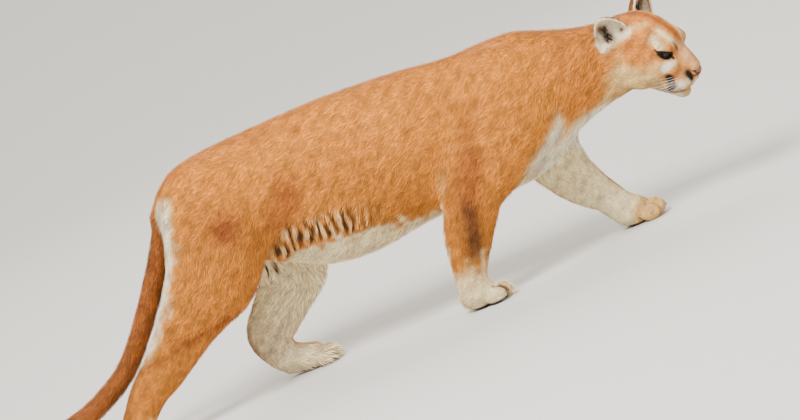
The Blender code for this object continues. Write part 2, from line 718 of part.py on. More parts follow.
def body_from(mesh, group, name):
    """One separate body of a mesh, as a mesh of its own."""
    numbers, points, faces = {}, [], []
    for index in group:
        corners = mesh.polygons[index].vertices
        for corner in corners:
            if corner not in numbers:
                numbers[corner] = len(points)
                points.append(mesh.vertices[corner].co.copy())
        faces.append([numbers[corner] for corner in corners])
    part = bpy.data.meshes.new(name)
    part.from_pydata(points, [], faces)
    shape = bmesh.new()
    shape.from_mesh(part)
    bmesh.ops.triangulate(shape, faces=shape.faces)
    drop_flaps(shape)
    shape.to_mesh(part)
    shape.free()
    return part, sum(points, Vector()) / len(points)


def take_parts(thing, parts, root):
    """Names each separate body nearest to a part's middle, and drops the rest."""
    bodies = [body_from(thing.data, group, thing.name) for group in islands(thing.data) if len(group) > 30]
    for name, middle in parts.items():
        part, _ = min(bodies, key=lambda body: (body[1] - Vector(middle)).length)
        finish(name, part, root)
    bpy.data.objects.remove(thing)


def eye_ball(side, gap=0.0):
    """The eyeball, or with a gap the socket around it."""
    shape = bmesh.new()
    place = Matrix.Translation(head_point(EYE_AT, side).tolist())
    bmesh.ops.create_icosphere(shape, subdivisions=2, radius=EYE_RADIUS + gap, matrix=place)
    return shape


def eye_opening(side):
    """The almond between the lids, as a lens that reaches out through them."""
    frame = head_frame() @ turn("z", side * EYE_GAZE) @ turn("x", side * EYE_SLANT)
    turned = Matrix(frame.tolist()).to_4x4()
    place = Matrix.Translation(head_point(EYE_AT, side).tolist()) @ turned
    shape = bmesh.new()
    reach = Matrix.Translation((EYE_RADIUS, 0, EYE_DROP)) @ Matrix.Diagonal((*EYE_LENS, 1))
    bmesh.ops.create_icosphere(shape, subdivisions=3, radius=1.0, matrix=place @ reach)
    return shape


def open_eyes(head):
    for side in (-1, 1):
        subtract(head, as_cutter("socket", eye_ball(side, CUT)))
        subtract(head, as_cutter("lids", eye_opening(side)))


def add_eyes(root):
    for side, name in ((-1, "eye_right"), (1, "eye_left")):
        mesh = bpy.data.meshes.new(name)
        shape = eye_ball(side)
        shape.to_mesh(mesh)
        shape.free()
        finish(name, mesh, root)


class Swollen:
    """A field whose surface stands out by a gap all round."""
    def __init__(self, field, gap):
        self.field, self.gap = field, gap

    def at(self, p):
        return self.field.at(p) - self.gap


def add_ears(field, root):
    """The cups of the ears, cut clear of the head and neck that they stand on."""
    for name, side in EARS.items():
        middle = head_point(EAR_AT[side], side)
        cup = Field()
        add_ear(cup, side)
        box = (middle - EAR_REACH, middle + EAR_REACH)
        ear = flesh_in_box("flesh_" + name, cup, box, EAR_STEP, EAR_FACES)
        wider = (middle - 1.2 * EAR_REACH, middle + 1.2 * EAR_REACH)
        base = flesh_in_box("base_" + name, Swollen(field, EAR_GAP), wider, HEAD_STEP, BASE_FACES)
        subtract(ear, base)
        bpy.data.objects.remove(base)
        take_parts(ear, {name: middle}, root)


def finish(name, mesh, root):
    coat = "eye" if name.startswith("eye") else "tawny"
    coat = {"tail_tip": "dark_tip", "tail_lower": "tail", "tail_upper": "tail"}.get(name, coat)
    coat = "pale" if name.startswith("paw") else coat
    mesh.name = name
    mesh.materials.clear()
    mesh.materials.append(coat_material(name, coat))
    mesh.shade_smooth()
    mesh.set_sharp_from_angle(angle=math.radians(50))
    thing = new_object(name, mesh)
    thing.parent = root


def centre_on_floor(root):
    """Moves the whole animal so that the middle of its box is over the origin."""
    corners = [corner for part in root.children for corner in part.bound_box]
    for axis in (0, 1):
        values = [corner[axis] for corner in corners]
        root.location[axis] = -(min(values) + max(values)) / 2


def main():
    clear_scene()
    root = new_object("cougar", None)
    field = cougar(ears=False)
    cutters = part_cutters()
    regions = [("body", BODY_BOX, BODY_STEP, BODY_FACES, BODY_PARTS),
               ("head", HEAD_BOX, HEAD_STEP, HEAD_FACES, HEAD_PARTS)]
    for name in LEGS:
        regions.append(("leg_" + name, LEG_BOXES[name], LEG_STEP, LEG_FACES, LEG_PARTS[name]))
    for name, box, step, faces, parts in regions:
        flesh = flesh_in_box("flesh_" + name, field, box, step, faces)
        if name == "head":
            open_eyes(flesh)
        for tool in cutters:
            subtract(flesh, tool)
        take_parts(flesh, parts, root)
    add_ears(field, root)
    add_eyes(root)
    centre_on_floor(root)


main()
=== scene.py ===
"""The cougar's looks: skin, eyes, claws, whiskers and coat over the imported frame, in metres."""
import json
import math

import bmesh
import bpy
import numpy as np
from mathutils import Matrix, Vector

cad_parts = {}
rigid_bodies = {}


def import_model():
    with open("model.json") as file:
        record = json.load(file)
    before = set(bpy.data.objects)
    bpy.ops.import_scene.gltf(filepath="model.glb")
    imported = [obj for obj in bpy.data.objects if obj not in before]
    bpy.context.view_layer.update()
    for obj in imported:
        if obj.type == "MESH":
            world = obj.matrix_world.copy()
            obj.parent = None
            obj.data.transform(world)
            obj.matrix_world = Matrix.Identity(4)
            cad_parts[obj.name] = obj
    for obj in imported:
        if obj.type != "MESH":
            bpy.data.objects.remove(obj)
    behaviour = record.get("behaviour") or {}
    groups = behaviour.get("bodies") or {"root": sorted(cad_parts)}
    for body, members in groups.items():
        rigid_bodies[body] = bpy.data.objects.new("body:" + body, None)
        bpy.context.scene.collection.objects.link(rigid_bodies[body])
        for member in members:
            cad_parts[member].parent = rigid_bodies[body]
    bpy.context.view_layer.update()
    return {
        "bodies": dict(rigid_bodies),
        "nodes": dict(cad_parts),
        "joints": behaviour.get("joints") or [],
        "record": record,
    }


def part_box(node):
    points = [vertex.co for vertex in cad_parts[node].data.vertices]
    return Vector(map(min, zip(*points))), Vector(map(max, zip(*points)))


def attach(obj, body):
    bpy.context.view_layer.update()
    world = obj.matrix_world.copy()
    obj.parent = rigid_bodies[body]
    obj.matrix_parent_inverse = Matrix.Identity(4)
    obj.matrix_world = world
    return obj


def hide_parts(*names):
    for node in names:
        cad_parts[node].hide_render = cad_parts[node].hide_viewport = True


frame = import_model()

# Camera: angle downwards, the hillside's slope in the picture, distance, lens in mm, what it looks at
CAMERA_RISE, SLOPE, CAMERA_AWAY, CAMERA_LENS = 9, 24, 18.0, 348.3
AIM = (0.0, 0.0, 0.2731)

# Skin: the grid that it is worked out on, how often that is halved, and its clearance over the floor
SKIN_GRID, HALVINGS, FLOOR_GAP = 0.0045, 3, 0.0004
SKIN_LOW, SKIN_HIGH = (-1.04, -0.19, -0.012), (0.84, 0.19, 0.66)

# The head's own frame: its place in the trunk's frame, its turn, and its size against the forms below
HEAD_AT = (0.689, -0.034, 0.394)
HEAD_YAW, HEAD_PITCH, HEAD_ROLL = -30, 38, 7
HEAD_SIZE = 1.06

# Eyes: middle in the head's frame, radius, turn of the gaze outwards, slant, the almond between the lids
EYE_AT = (0.0452, 0.0365, 0.0150)
EYE_RADIUS = 0.0140
EYE_GAZE, EYE_SLANT = 46, 10
EYE_LENS = (0.012, 0.0140, 0.0064)

# Ears: the cup's middle, its radii (depth, half width, half height), its wall, its lean back and outwards,
# and how far each opens outwards, from straight ahead, in degrees
EAR_AT = {-1: (-0.074, 0.064, 0.030), 1: (-0.054, 0.058, 0.036)}
EAR_RADII, EAR_WALL, EAR_NARROWING = (0.024, 0.034, 0.046), 0.0065, 0.22
EAR_BACK, EAR_OUT = {-1: 34, 1: 20}, {-1: 34, 1: 14}
EAR_OPENS = {-1: 46, 1: -16}

# Trunk and neck: x, top, bottom, half width, height of the widest point as a share
TRUNK = [
    (-0.532, 0.500, 0.440, 0.020, 0.50),
    (-0.500, 0.532, 0.400, 0.056, 0.50),
    (-0.454, 0.574, 0.352, 0.088, 0.50),
    (-0.381, 0.590, 0.320, 0.101, 0.50),
    (-0.290, 0.595, 0.272, 0.103, 0.50),
    (-0.200, 0.595, 0.223, 0.112, 0.48),
    (-0.091, 0.594, 0.205, 0.120, 0.47),
    (0.018, 0.587, 0.215, 0.125, 0.47),
    (0.127, 0.576, 0.221, 0.120, 0.46),
    (0.236, 0.560, 0.208, 0.108, 0.46),
    (0.327, 0.558, 0.211, 0.103, 0.45),
    (0.399, 0.553, 0.240, 0.097, 0.46),
    (0.472, 0.526, 0.277, 0.087, 0.48),
    (0.544, 0.500, 0.298, 0.075, 0.50),
    (0.610, 0.487, 0.310, 0.060, 0.50),
    (0.640, 0.478, 0.322, 0.050, 0.50),
]

# Legs, from the trunk to the paw: x, y, z, radius fore and aft, radius sideways
LEGS = {
    "fore_right": [
        (0.335, -0.070, 0.440, 0.085, 0.042),
        (0.335, -0.085, 0.370, 0.088, 0.050),
        (0.260, -0.096, 0.318, 0.088, 0.052),
        (0.180, -0.098, 0.262, 0.074, 0.048),
        (0.142, -0.098, 0.208, 0.066, 0.044),
        (0.121, -0.098, 0.169, 0.059, 0.040),
        (0.106, -0.096, 0.134, 0.051, 0.037),
        (0.094, -0.095, 0.100, 0.043, 0.035),
        (0.085, -0.094, 0.072, 0.039, 0.036),
        (0.083, -0.094, 0.044, 0.038, 0.037),
    ],
    "fore_left": [
        (0.370, 0.070, 0.440, 0.080, 0.042),
        (0.400, 0.083, 0.350, 0.085, 0.048),
        (0.375, 0.088, 0.255, 0.078, 0.048),
        (0.391, 0.090, 0.190, 0.064, 0.042),
        (0.409, 0.090, 0.153, 0.056, 0.038),
        (0.429, 0.090, 0.122, 0.048, 0.034),
        (0.450, 0.089, 0.097, 0.041, 0.032),
        (0.467, 0.088, 0.070, 0.039, 0.033),
        (0.484, 0.088, 0.044, 0.036, 0.035),
    ],
    "hind_right": [
        (-0.400, -0.062, 0.490, 0.090, 0.055),
        (-0.420, -0.080, 0.400, 0.118, 0.058),
        (-0.455, -0.088, 0.330, 0.112, 0.055),
        (-0.500, -0.092, 0.292, 0.094, 0.048),
        (-0.543, -0.092, 0.256, 0.077, 0.041),
        (-0.600, -0.090, 0.209, 0.063, 0.034),
        (-0.651, -0.088, 0.169, 0.054, 0.029),
        (-0.698, -0.087, 0.138, 0.046, 0.029),
        (-0.731, -0.086, 0.106, 0.041, 0.029),
        (-0.762, -0.086, 0.070, 0.038, 0.031),
        (-0.780, -0.086, 0.044, 0.037, 0.033),
    ],
    "hind_left": [
        (-0.360, 0.062, 0.480, 0.090, 0.055),
        (-0.340, 0.080, 0.390, 0.115, 0.058),
        (-0.300, 0.088, 0.300, 0.100, 0.054),
        (-0.280, 0.091, 0.232, 0.078, 0.046),
        (-0.330, 0.091, 0.183, 0.068, 0.038),
        (-0.364, 0.090, 0.152, 0.062, 0.033),
        (-0.396, 0.088, 0.116, 0.055, 0.029),
        (-0.390, 0.086, 0.070, 0.043, 0.029),
        (-0.372, 0.086, 0.044, 0.039, 0.031),
    ],
}

# Muscles that show through the coat, laid on the legs: x, y, z, radius fore and aft, radius sideways
MUSCLES = {
    "triceps_right": [(0.312, -0.094, 0.450, 0.040, 0.024), (0.248, -0.107, 0.385, 0.052, 0.027),
                      (0.182, -0.112, 0.318, 0.036, 0.024)],
    "triceps_left": [(0.330, 0.090, 0.440, 0.040, 0.024), (0.335, 0.102, 0.360, 0.048, 0.026),
                     (0.335, 0.104, 0.290, 0.034, 0.022)],
    "thigh_right": [(-0.395, -0.098, 0.480, 0.060, 0.026), (-0.395, -0.112, 0.405, 0.072, 0.028),
                    (-0.430, -0.116, 0.335, 0.050, 0.024)],
    "thigh_left": [(-0.360, 0.098, 0.470, 0.060, 0.026), (-0.325, 0.112, 0.390, 0.068, 0.027),
                   (-0.300, 0.116, 0.315, 0.048, 0.024)],
    "calf_right": [(-0.505, -0.108, 0.320, 0.040, 0.024), (-0.575, -0.106, 0.258, 0.034, 0.022),
                   (-0.640, -0.098, 0.205, 0.020, 0.016)],
    "calf_left": [(-0.320, 0.112, 0.270, 0.036, 0.022), (-0.345, 0.108, 0.215, 0.030, 0.020),
                  (-0.375, 0.100, 0.165, 0.020, 0.014)],
}

# Paws: middle of the sole, heading in degrees, size against the forms below
PAWS = {
    "fore_right": ((0.098, -0.094), 0, 1.00),
    "fore_left": ((0.510, 0.088), -2, 1.00),
    "hind_right": ((-0.756, -0.086), -4, 0.92),
    "hind_left": ((-0.322, 0.086), 0, 0.96),
}

TAIL = [
    (-0.478, 0.000, 0.516, 0.032, 0.032),
    (-0.510, 0.000, 0.478, 0.029, 0.029),
    (-0.532, 0.000, 0.440, 0.028, 0.028),
    (-0.593, 0.002, 0.350, 0.028, 0.027),
    (-0.667, 0.004, 0.257, 0.027, 0.026),
    (-0.741, 0.008, 0.183, 0.027, 0.026),
    (-0.831, 0.010, 0.136, 0.027, 0.026),
    (-0.905, 0.010, 0.116, 0.027, 0.027),
    (-0.963, 0.010, 0.114, 0.025, 0.025),
    (-1.000, 0.010, 0.119, 0.018, 0.018),
]

# What counts as far, how near a form has to be to matter, how many cells from it the grid is made fine,
# how many points are worked out at once, and the steps of a curve between two joints or stations
FAR, FORM_REACH, CELL_REACH, BLOCK = 1.0, 0.03, 1.9, 200000
LIMB_STEPS, TRUNK_STEPS = 4, 10


def smooth_min(a, b, k):
    if k <= 0:
        return np.minimum(a, b)
    h = np.maximum(k - np.abs(a - b), 0.0) / k
    return np.minimum(a, b) - h * h * k * 0.25


def smooth_max(a, b, k):
    return -smooth_min(-a, -b, k)


def turn(axis, degrees):
    c, s = math.cos(math.radians(degrees)), math.sin(math.radians(degrees))
    i, j = {"x": (1, 2), "y": (2, 0), "z": (0, 1)}[axis]
    m = np.eye(3)
    m[i, i] = m[j, j] = c
    m[i, j], m[j, i] = -s, s
    return m


def scaled_distance(k0, k1, inside):
    """Near-exact distance, from a point's place over the radii and over their squares."""
    return np.where(k0 < 1e-6, inside, k0 * (k0 - 1) / np.maximum(k1, 1e-9))


def ellipse_distance(q, r):
    """Distance to an ellipsoid of radii r, for points q in its frame."""
    return scaled_distance(np.sqrt(((q / r) ** 2).sum(-1)), np.sqrt(((q / (r * r)) ** 2).sum(-1)), -r.min())


def oval_distance(a, b, wide, tall, inside):
    """Distance to an ellipse of half widths wide and tall, for points at a and b along them."""
    k0 = np.sqrt((a / wide) ** 2 + (b / tall) ** 2)
    return scaled_distance(k0, np.sqrt((a / wide ** 2) ** 2 + (b / tall ** 2) ** 2), inside)


class Ball:
    """An ellipsoid: centre, three radii, and a 3x3 frame whose columns are its axes."""
    def __init__(self, centre, radii, frame=None):
        self.c = np.array(centre, float)
        self.r = np.broadcast_to(np.array(radii, float), (3,)).copy()
        self.m = np.eye(3) if frame is None else frame
        reach = np.sqrt(((self.m * self.r) ** 2).sum(1))
        self.low, self.high = self.c - reach, self.c + reach

    def __call__(self, p):
        return ellipse_distance((p - self.c) @ self.m, self.r)


def smooth_path(points, per_span):
    """A Catmull-Rom curve through rows of numbers."""
    p = np.array(points, float)
    p = np.vstack([2 * p[0] - p[1], p, 2 * p[-1] - p[-2]])
    t = np.linspace(0, 1, per_span, endpoint=False)[:, None]
    rows = []
    for a, b, c, d in zip(p, p[1:], p[2:], p[3:]):
        rows.append(0.5 * (2 * b + (c - a) * t + (2 * a - 5 * b + 4 * c - d) * t ** 2
                           + (3 * b - a - 3 * c + d) * t ** 3))
    return np.vstack(rows + [p[-2:-1]])


class Limb:
    """A tapering tube through joints (x, y, z, radius fore and aft, radius sideways)."""
    def __init__(self, joints):
        rows = smooth_path(joints, LIMB_STEPS)
        self.p, self.r = rows[:, :3], rows[:, 3:5]
        big = self.r.max(1)[:, None]
        self.low, self.high = (self.p - big).min(0), (self.p + big).max(0)

    def __call__(self, p):
        best = np.full(len(p), FAR)
        for a, b, ra, rb in zip(self.p, self.p[1:], self.r, self.r[1:]):
            d = b - a
            rel = p - a
            t = np.clip(rel @ d / (d @ d), 0, 1)
            q = rel - t[:, None] * d
            r = ra + t[:, None] * (rb - ra)
            across = q[:, 1]
            along = np.sqrt(np.maximum((q * q).sum(1) - across * across, 0))
            best = np.minimum(best, oval_distance(along, across, r[:, 0], r[:, 1], -r.min(1)))
        return best


class Trunk:
    """Trunk and neck, lofted along X through rows of x, top, bottom, half width and widest height."""
    def __init__(self, stations):
        rows = smooth_path(stations, TRUNK_STEPS)
        self.rows = rows[np.argsort(rows[:, 0])]
        self.low = np.array([self.rows[0, 0], -self.rows[:, 3].max(), self.rows[:, 2].min()])
        self.high = np.array([self.rows[-1, 0], self.rows[:, 3].max(), self.rows[:, 1].max()])

    def __call__(self, p):
        x = np.clip(p[:, 0], self.rows[0, 0], self.rows[-1, 0])
        top, bottom, wide, mid = (np.interp(x, self.rows[:, 0], self.rows[:, i]) for i in range(1, 5))
        centre = bottom + (top - bottom) * mid
        up = p[:, 2] - centre
        tall = np.where(up > 0, top - centre, centre - bottom)
        d = oval_distance(p[:, 1], up, wide, tall, -wide)
        beyond = np.abs(p[:, 0] - x)
        return np.where(beyond > 0, np.sqrt(np.maximum(d, 0) ** 2 + beyond ** 2), d)


class Cup:
    """The thin shell of an ellipsoid, open on its +X side: the cup of an ear, narrower towards its top."""
    def __init__(self, centre, radii, frame, thick, mouth_at, narrowing):
        self.ball = Ball(centre, radii, frame)
        self.low, self.high = self.ball.low - thick, self.ball.high + thick
        self.thick, self.mouth_at, self.narrowing = thick, mouth_at, narrowing

    def __call__(self, p):
        q = (p - self.ball.c) @ self.ball.m
        up = np.clip(q[:, 2] / self.ball.r[2], -0.2, 1.0)
        q = q / np.stack([np.ones_like(up), 1.0 - self.narrowing * up, np.ones_like(up)], 1)
        shell = np.abs(ellipse_distance(q, self.ball.r)) - self.thick / 2
        return smooth_max(shell, q[:, 0] - self.mouth_at, 0.004)


class Placed:
    """A form moved into a frame and scaled, and mirrored across its y = 0 where both is set."""
    def __init__(self, form, origin, frame, size, both=False):
        self.form, self.both, self.size = form, both, size
        self.o, self.m = np.array(origin, float), frame
        low, high = form.low.copy(), form.high.copy()
        if both:
            reach = max(abs(low[1]), abs(high[1]))
            low[1], high[1] = -reach, reach
        corners = np.array([[x, y, z] for x in (low[0], high[0]) for y in (low[1], high[1])
                            for z in (low[2], high[2])])
        world = corners @ self.m.T * size + self.o
        self.low, self.high = world.min(0), world.max(0)

    def __call__(self, p):
        q = (p - self.o) @ self.m / self.size
        if self.both:
            q[:, 1] = np.abs(q[:, 1])
        return self.form(q) * self.size


class Field:
    """Forms joined and cut one after another. at() gives the signed distance, negative inside."""
    def __init__(self):
        self.steps = []

    def add(self, form, blend):
        self.steps.append(("add", form, blend))

    def cut(self, form, blend):
        self.steps.append(("cut", form, blend))

    def at(self, p):
        d = np.full(len(p), FAR)
        for kind, form, k in self.steps:
            margin = k + FORM_REACH
            near = np.flatnonzero(((p > form.low - margin) & (p < form.high + margin)).all(1))
            if not len(near):
                continue
            v = form(p[near])
            if kind == "add":
                d[near] = smooth_min(d[near], v, k)
            else:
                d[near] = smooth_max(d[near], -v, k)
        return d


def sample(field, low, high, step):
    """Field values on a regular grid, worked out again near the surface at each halving of the step."""
    low, high = np.array(low, float), np.array(high, float)
    wide = step * 2 ** HALVINGS
    count = np.ceil((high - low) / wide).astype(int) + 1
    corners = np.stack(np.meshgrid(*[np.arange(n) for n in count], indexing="ij"), -1).reshape(-1, 3)
    grid = field.at(low + wide * corners).reshape(count).astype(np.float32)
    octant = np.stack(np.meshgrid(*[np.arange(2)] * 3, indexing="ij"), -1).reshape(-1, 3)
    for _ in range(HALVINGS):
        near = np.argwhere(np.abs(grid) < CELL_REACH * wide)
        count = (np.array(grid.shape) - 1) * 2 + 1
        spread = [np.minimum(np.arange(n) // 2, grid.shape[i] - 1) for i, n in enumerate(count)]
        grid = grid[np.ix_(*spread)].copy()
        wide /= 2
        near = (near[:, None] * 2 + octant[None]).reshape(-1, 3)
        near = near[(near < count).all(1)]
        for start in range(0, len(near), BLOCK):
            block = near[start:start + BLOCK]
            grid[block[:, 0], block[:, 1], block[:, 2]] = field.at(low + wide * block)
    return grid, low


def surface_nets(f, low, step):
    """Vertices and quads of the zero surface of grid f."""
    inside = f < 0
    n = np.array(f.shape)
    mixed = np.zeros(n - 1, np.int8)
    for dx in (0, 1):
        for dy in (0, 1):
            for dz in (0, 1):
                mixed += inside[dx:n[0] - 1 + dx, dy:n[1] - 1 + dy, dz:n[2] - 1 + dz]
    active = (mixed > 0) & (mixed < 8)
    cells = np.argwhere(active)
    number = np.full(n - 1, -1, np.int32)
    number[active] = np.arange(len(cells))
    total = np.zeros((len(cells), 3))
    count = np.zeros(len(cells))

    def corner(c, o):
        return f[c[:, 0] + o[0], c[:, 1] + o[1], c[:, 2] + o[2]]

    for ax in range(3):
        others = [a for a in range(3) if a != ax]
        for s in (0, 1):
            for t in (0, 1):
                o = [0, 0, 0]
                o[others[0]], o[others[1]] = s, t
                e = list(o)
                e[ax] = 1
                a, b = corner(cells, o), corner(cells, e)
                cross = (a < 0) != (b < 0)
                w = np.where(cross, a / np.where(cross, a - b, 1), 0)
                pt = np.tile(np.array(o, float), (len(cells), 1))
                pt[:, ax] += w
                total += pt * cross[:, None]
                count += cross
    verts = low + step * (cells + total / count[:, None])
    quads = []
    for ax in range(3):
        sl0, sl1 = [slice(None)] * 3, [slice(None)] * 3
        sl0[ax], sl1[ax] = slice(0, -1), slice(1, None)
        cross = inside[tuple(sl0)] != inside[tuple(sl1)]
        e = np.argwhere(cross)
        u, v = [a for a in range(3) if a != ax]
        e = e[(e[:, u] > 0) & (e[:, v] > 0) & (e[:, u] < n[u] - 1) & (e[:, v] < n[v] - 1)]
        starts = inside[e[:, 0], e[:, 1], e[:, 2]]
        ring = []
        for du, dv in ((-1, -1), (0, -1), (0, 0), (-1, 0)):
            c = e.copy()
            c[:, u] += du
            c[:, v] += dv
            ring.append(number[c[:, 0], c[:, 1], c[:, 2]])
        ring = np.stack(ring, 1)
        flip = starts if ax != 1 else ~starts
        ring[~flip] = ring[~flip][:, ::-1]
        quads.append(ring)
    return verts, np.vstack(quads)


def fill_checkered(f):
    """Fills grid points where inside and outside meet corner to corner, so that each edge has two faces."""
    tiny = -1e-5
    while True:
        found = False
        for axis in range(3):
            u, v = [other for other in range(3) if other != axis]

            def corner(du, dv):
                cut = [slice(None)] * 3
                cut[u] = slice(du, f.shape[u] - 1 + du)
                cut[v] = slice(dv, f.shape[v] - 1 + dv)
                return tuple(cut)

            a, b, c, d = (f[corner(*at)] < 0 for at in ((0, 0), (1, 0), (0, 1), (1, 1)))
            for bad, at in (((a & d & ~b & ~c), (1, 0)), ((b & c & ~a & ~d), (0, 0))):
                if bad.any():
                    found = True
                    f[corner(*at)][bad] = tiny
        if not found:
            return f


def head_frame():
    return turn("z", HEAD_YAW) @ turn("y", HEAD_PITCH) @ turn("x", HEAD_ROLL)


def head_point(local, side):
    """A point of the head's frame in the trunk's, on the left for side 1 and the right for -1."""
    x, y, z = local
    return np.array(HEAD_AT) + head_frame() @ (np.array([x, y * side, z]) * HEAD_SIZE)


def add_paw(field, at, heading, size):
    """The back of the paw, its pad and four toes."""
    frame = turn("z", heading)
    base = np.array([at[0], at[1], 0.0])

    def ball(centre, radii, blend):
        field.add(Ball(base + frame @ np.array(centre) * size, np.array(radii) * size, frame), blend)

    ball((-0.010, 0, 0.034), (0.044, 0.040, 0.032), 0.022)
    ball((-0.012, 0, 0.012), (0.030, 0.031, 0.013), 0.006)
    for side in (-1, 1):
        ball((0.024, side * 0.0345, 0.0190), (0.026, 0.0155, 0.0205), 0.006)
    for side in (-1, 1):
        ball((0.037, side * 0.0125, 0.0215), (0.028, 0.0150, 0.0230), 0.005)


def ear_frame(side):
    """The axes of an ear's cup: its opening, its width and its height, for the left ear mirrored by side."""
    lean = turn("x", -EAR_OUT[side]) @ turn("y", -EAR_BACK[side])
    return lean @ turn("z", EAR_OPENS[side])


def add_ear(field, side):
    frame = head_frame() @ np.diag([1, side, 1])
    cup = Cup(EAR_AT[side], EAR_RADII, ear_frame(side), EAR_WALL, 0.004, EAR_NARROWING)
    field.add(Placed(cup, HEAD_AT, frame, HEAD_SIZE), 0.010)


def add_head(field):
    frame = head_frame()

    def put(form, blend, both=False):
        field.add(Placed(form, HEAD_AT, frame, HEAD_SIZE, both), blend)

    def carve(form, blend, both=False):
        field.cut(Placed(form, HEAD_AT, frame, HEAD_SIZE, both), blend)

    put(Ball((-0.020, 0, 0.010), (0.078, 0.058, 0.056)), 0.035)
    put(Ball((0.028, 0, 0.015), (0.041, 0.044, 0.037)), 0.020)
    put(Ball((0.010, 0.042, -0.020), (0.048, 0.024, 0.032), turn("y", 20)), 0.020, both=True)
    put(Ball((-0.006, 0.042, -0.056), (0.046, 0.028, 0.037)), 0.022, both=True)
    jaw = [(-0.030, 0, -0.066, 0.034, 0.042), (0.030, 0, -0.074, 0.027, 0.033),
           (0.082, 0, -0.081, 0.0175, 0.021)]
    put(Limb(jaw), 0.018)
    bridge = [(0.036, 0, 0.007, 0.027, 0.027), (0.074, 0, -0.001, 0.022, 0.0225),
              (0.103, 0, -0.015, 0.0165, 0.0200)]
    put(Limb(bridge), 0.014)
    put(Ball((0.076, 0, -0.040), (0.036, 0.031, 0.032)), 0.014)
    put(Ball((0.050, 0, -0.044), (0.038, 0.040, 0.036)), 0.018)
    put(Ball((0.102, 0, -0.047), (0.014, 0.015, 0.021)), 0.006)
    put(Ball((0.089, 0.0175, -0.047), (0.0265, 0.0205, 0.0215)), 0.007, both=True)
    put(Ball((0.073, 0.0215, -0.062), (0.022, 0.0160, 0.0210)), 0.008, both=True)
    put(Ball((0.092, 0, -0.082), (0.0170, 0.0180, 0.0155)), 0.008)
    put(Ball((0.040, 0.034, 0.024), (0.022, 0.019, 0.013), turn("z", 20)), 0.016, both=True)
    put(Ball(EYE_AT, EYE_RADIUS / HEAD_SIZE + 0.0022), 0.008, both=True)
    put(Ball((0.052, 0.026, -0.022), (0.033, 0.021, 0.025), turn("z", 20)), 0.020, both=True)
    put(Ball((0.1135, 0, -0.0235), (0.0110, 0.0175, 0.0125)), 0.004)
    lips = [(0.119, 0.000, -0.0685, 0.0032, 0.0032), (0.107, 0.015, -0.0705, 0.0034, 0.0034),
            (0.092, 0.025, -0.0765, 0.0034, 0.0034), (0.077, 0.031, -0.0845, 0.0034, 0.0034),
            (0.066, 0.034, -0.0860, 0.0020, 0.0020)]
    carve(Limb(lips), 0.004, both=True)
    carve(Limb([(0.1185, 0, -0.034, 0.0022, 0.0022), (0.1180, 0, -0.066, 0.0026, 0.0026)]), 0.004)
    carve(Ball((0.1220, 0.0100, -0.0255), (0.0062, 0.0038, 0.0042), turn("z", 25)), 0.002, both=True)


def cougar():
    """The flesh of the whole animal, out to the tips of its coat."""
    field = Field()
    field.add(Trunk(TRUNK), 0)
    for side in (-1, 1):
        field.add(Ball((0.312, side * 0.062, 0.440), (0.080, 0.042, 0.100), turn("y", 12)), 0.045)
        field.add(Ball((-0.425, side * 0.055, 0.480), (0.088, 0.050, 0.082)), 0.045)
    for name in LEGS:
        field.add(Limb(LEGS[name]), 0.045)
        add_paw(field, *PAWS[name])
    for joints in MUSCLES.values():
        field.add(Limb(joints), 0.016)
    field.add(Limb(TAIL), 0.025)
    add_head(field)
    for side in (-1, 1):
        add_ear(field, side)
    return field


# Depths of the coat, from its tips down to the skin
BODY_COAT, BELLY_COAT, FACE_COAT, PAW_COAT, EAR_COAT = 0.0050, 0.0080, 0.0012, 0.0018, 0.0007

# Coat colours, as a screen shows them, 0 to 255
# The dusky brown after RUST is also laid as painted shade between the toes
TAWNY, GOLD, RUST, DUSKY_AND_SHADE = (208, 128, 38), (192, 116, 36), (130, 64, 24), (92, 52, 24)
CREAM, WHITE, GREY, DARK = (244, 221, 174), (250, 238, 212), (180, 160, 132), (38, 25, 18)
TAIL_BROWN, TAIL_END, FACE_ORANGE, TEMPLE = (140, 76, 28), (62, 40, 30), (204, 122, 46), (228, 176, 104)
MUZZLE_TAN, NOSE_PINK, PAD_BROWN, RIM_BLACK = (214, 156, 106), (156, 100, 82), (58, 44, 40), (20, 15, 13)
BRIDGE, CHEEK, NECK_TAN, BELLY_CREAM = (228, 174, 124), (226, 186, 118), (188, 110, 34), (244, 218, 172)
# The comb's dark brown is painted shade between the locks on the flank's fold
COMB_SHADE, WHISKER_WHITE = (58, 36, 20), (240, 234, 222)
CLAW_DARK, CLAW_PALE = (96, 78, 62), (178, 158, 132)
EYE_BROWN, IRIS, IRIS_EDGE, PUPIL = (34, 24, 19), (70, 46, 22), (16, 11, 9), (6, 5, 5)

# The fold of the flank, where the coat stands up in a comb, and the upper edge of the white belly: x, z
FOLD = [(-0.360, 0.240), (-0.339, 0.262), (-0.321, 0.281), (-0.293, 0.311), (-0.264, 0.332),
        (-0.229, 0.342), (-0.185, 0.334), (-0.135, 0.329), (-0.089, 0.318), (-0.043, 0.305), (0.002, 0.291)]
WHITE_EDGE = [(-0.36, 0.250), (-0.304, 0.272), (-0.277, 0.288), (-0.248, 0.301), (-0.198, 0.301),
              (-0.150, 0.295), (-0.102, 0.288), (-0.056, 0.276), (-0.009, 0.266), (0.038, 0.254),
              (0.083, 0.243)]

# Half the fold's width, the length of a bar of its comb and how it leans, and the places and half width of
# the painted shade in the gaps between the toes
FOLD_HALF, COMB_PITCH, COMB_LEAN = 0.027, 0.0215, 0.06
TOE_SHADE_GAPS, TOE_SHADE_HALF = (-0.0235, 0.0, 0.0235), 0.0024


def ease(value, low, high):
    """0 on the side of low, 1 on the side of high, and smooth between them."""
    t = np.clip((value - low) / (high - low), 0, 1)
    return t * t * (3 - 2 * t)


def toward(value, goal, share):
    """A value moved some share of the way to another."""
    return value + (goal - value) * share


def unit(vectors):
    return vectors / np.linalg.norm(vectors, axis=-1, keepdims=True)


def onto_side(p, side):
    """Points folded over onto the left side for 1, or the right for -1."""
    return np.stack([p[:, 0], side * np.abs(p[:, 1]), p[:, 2]], 1)


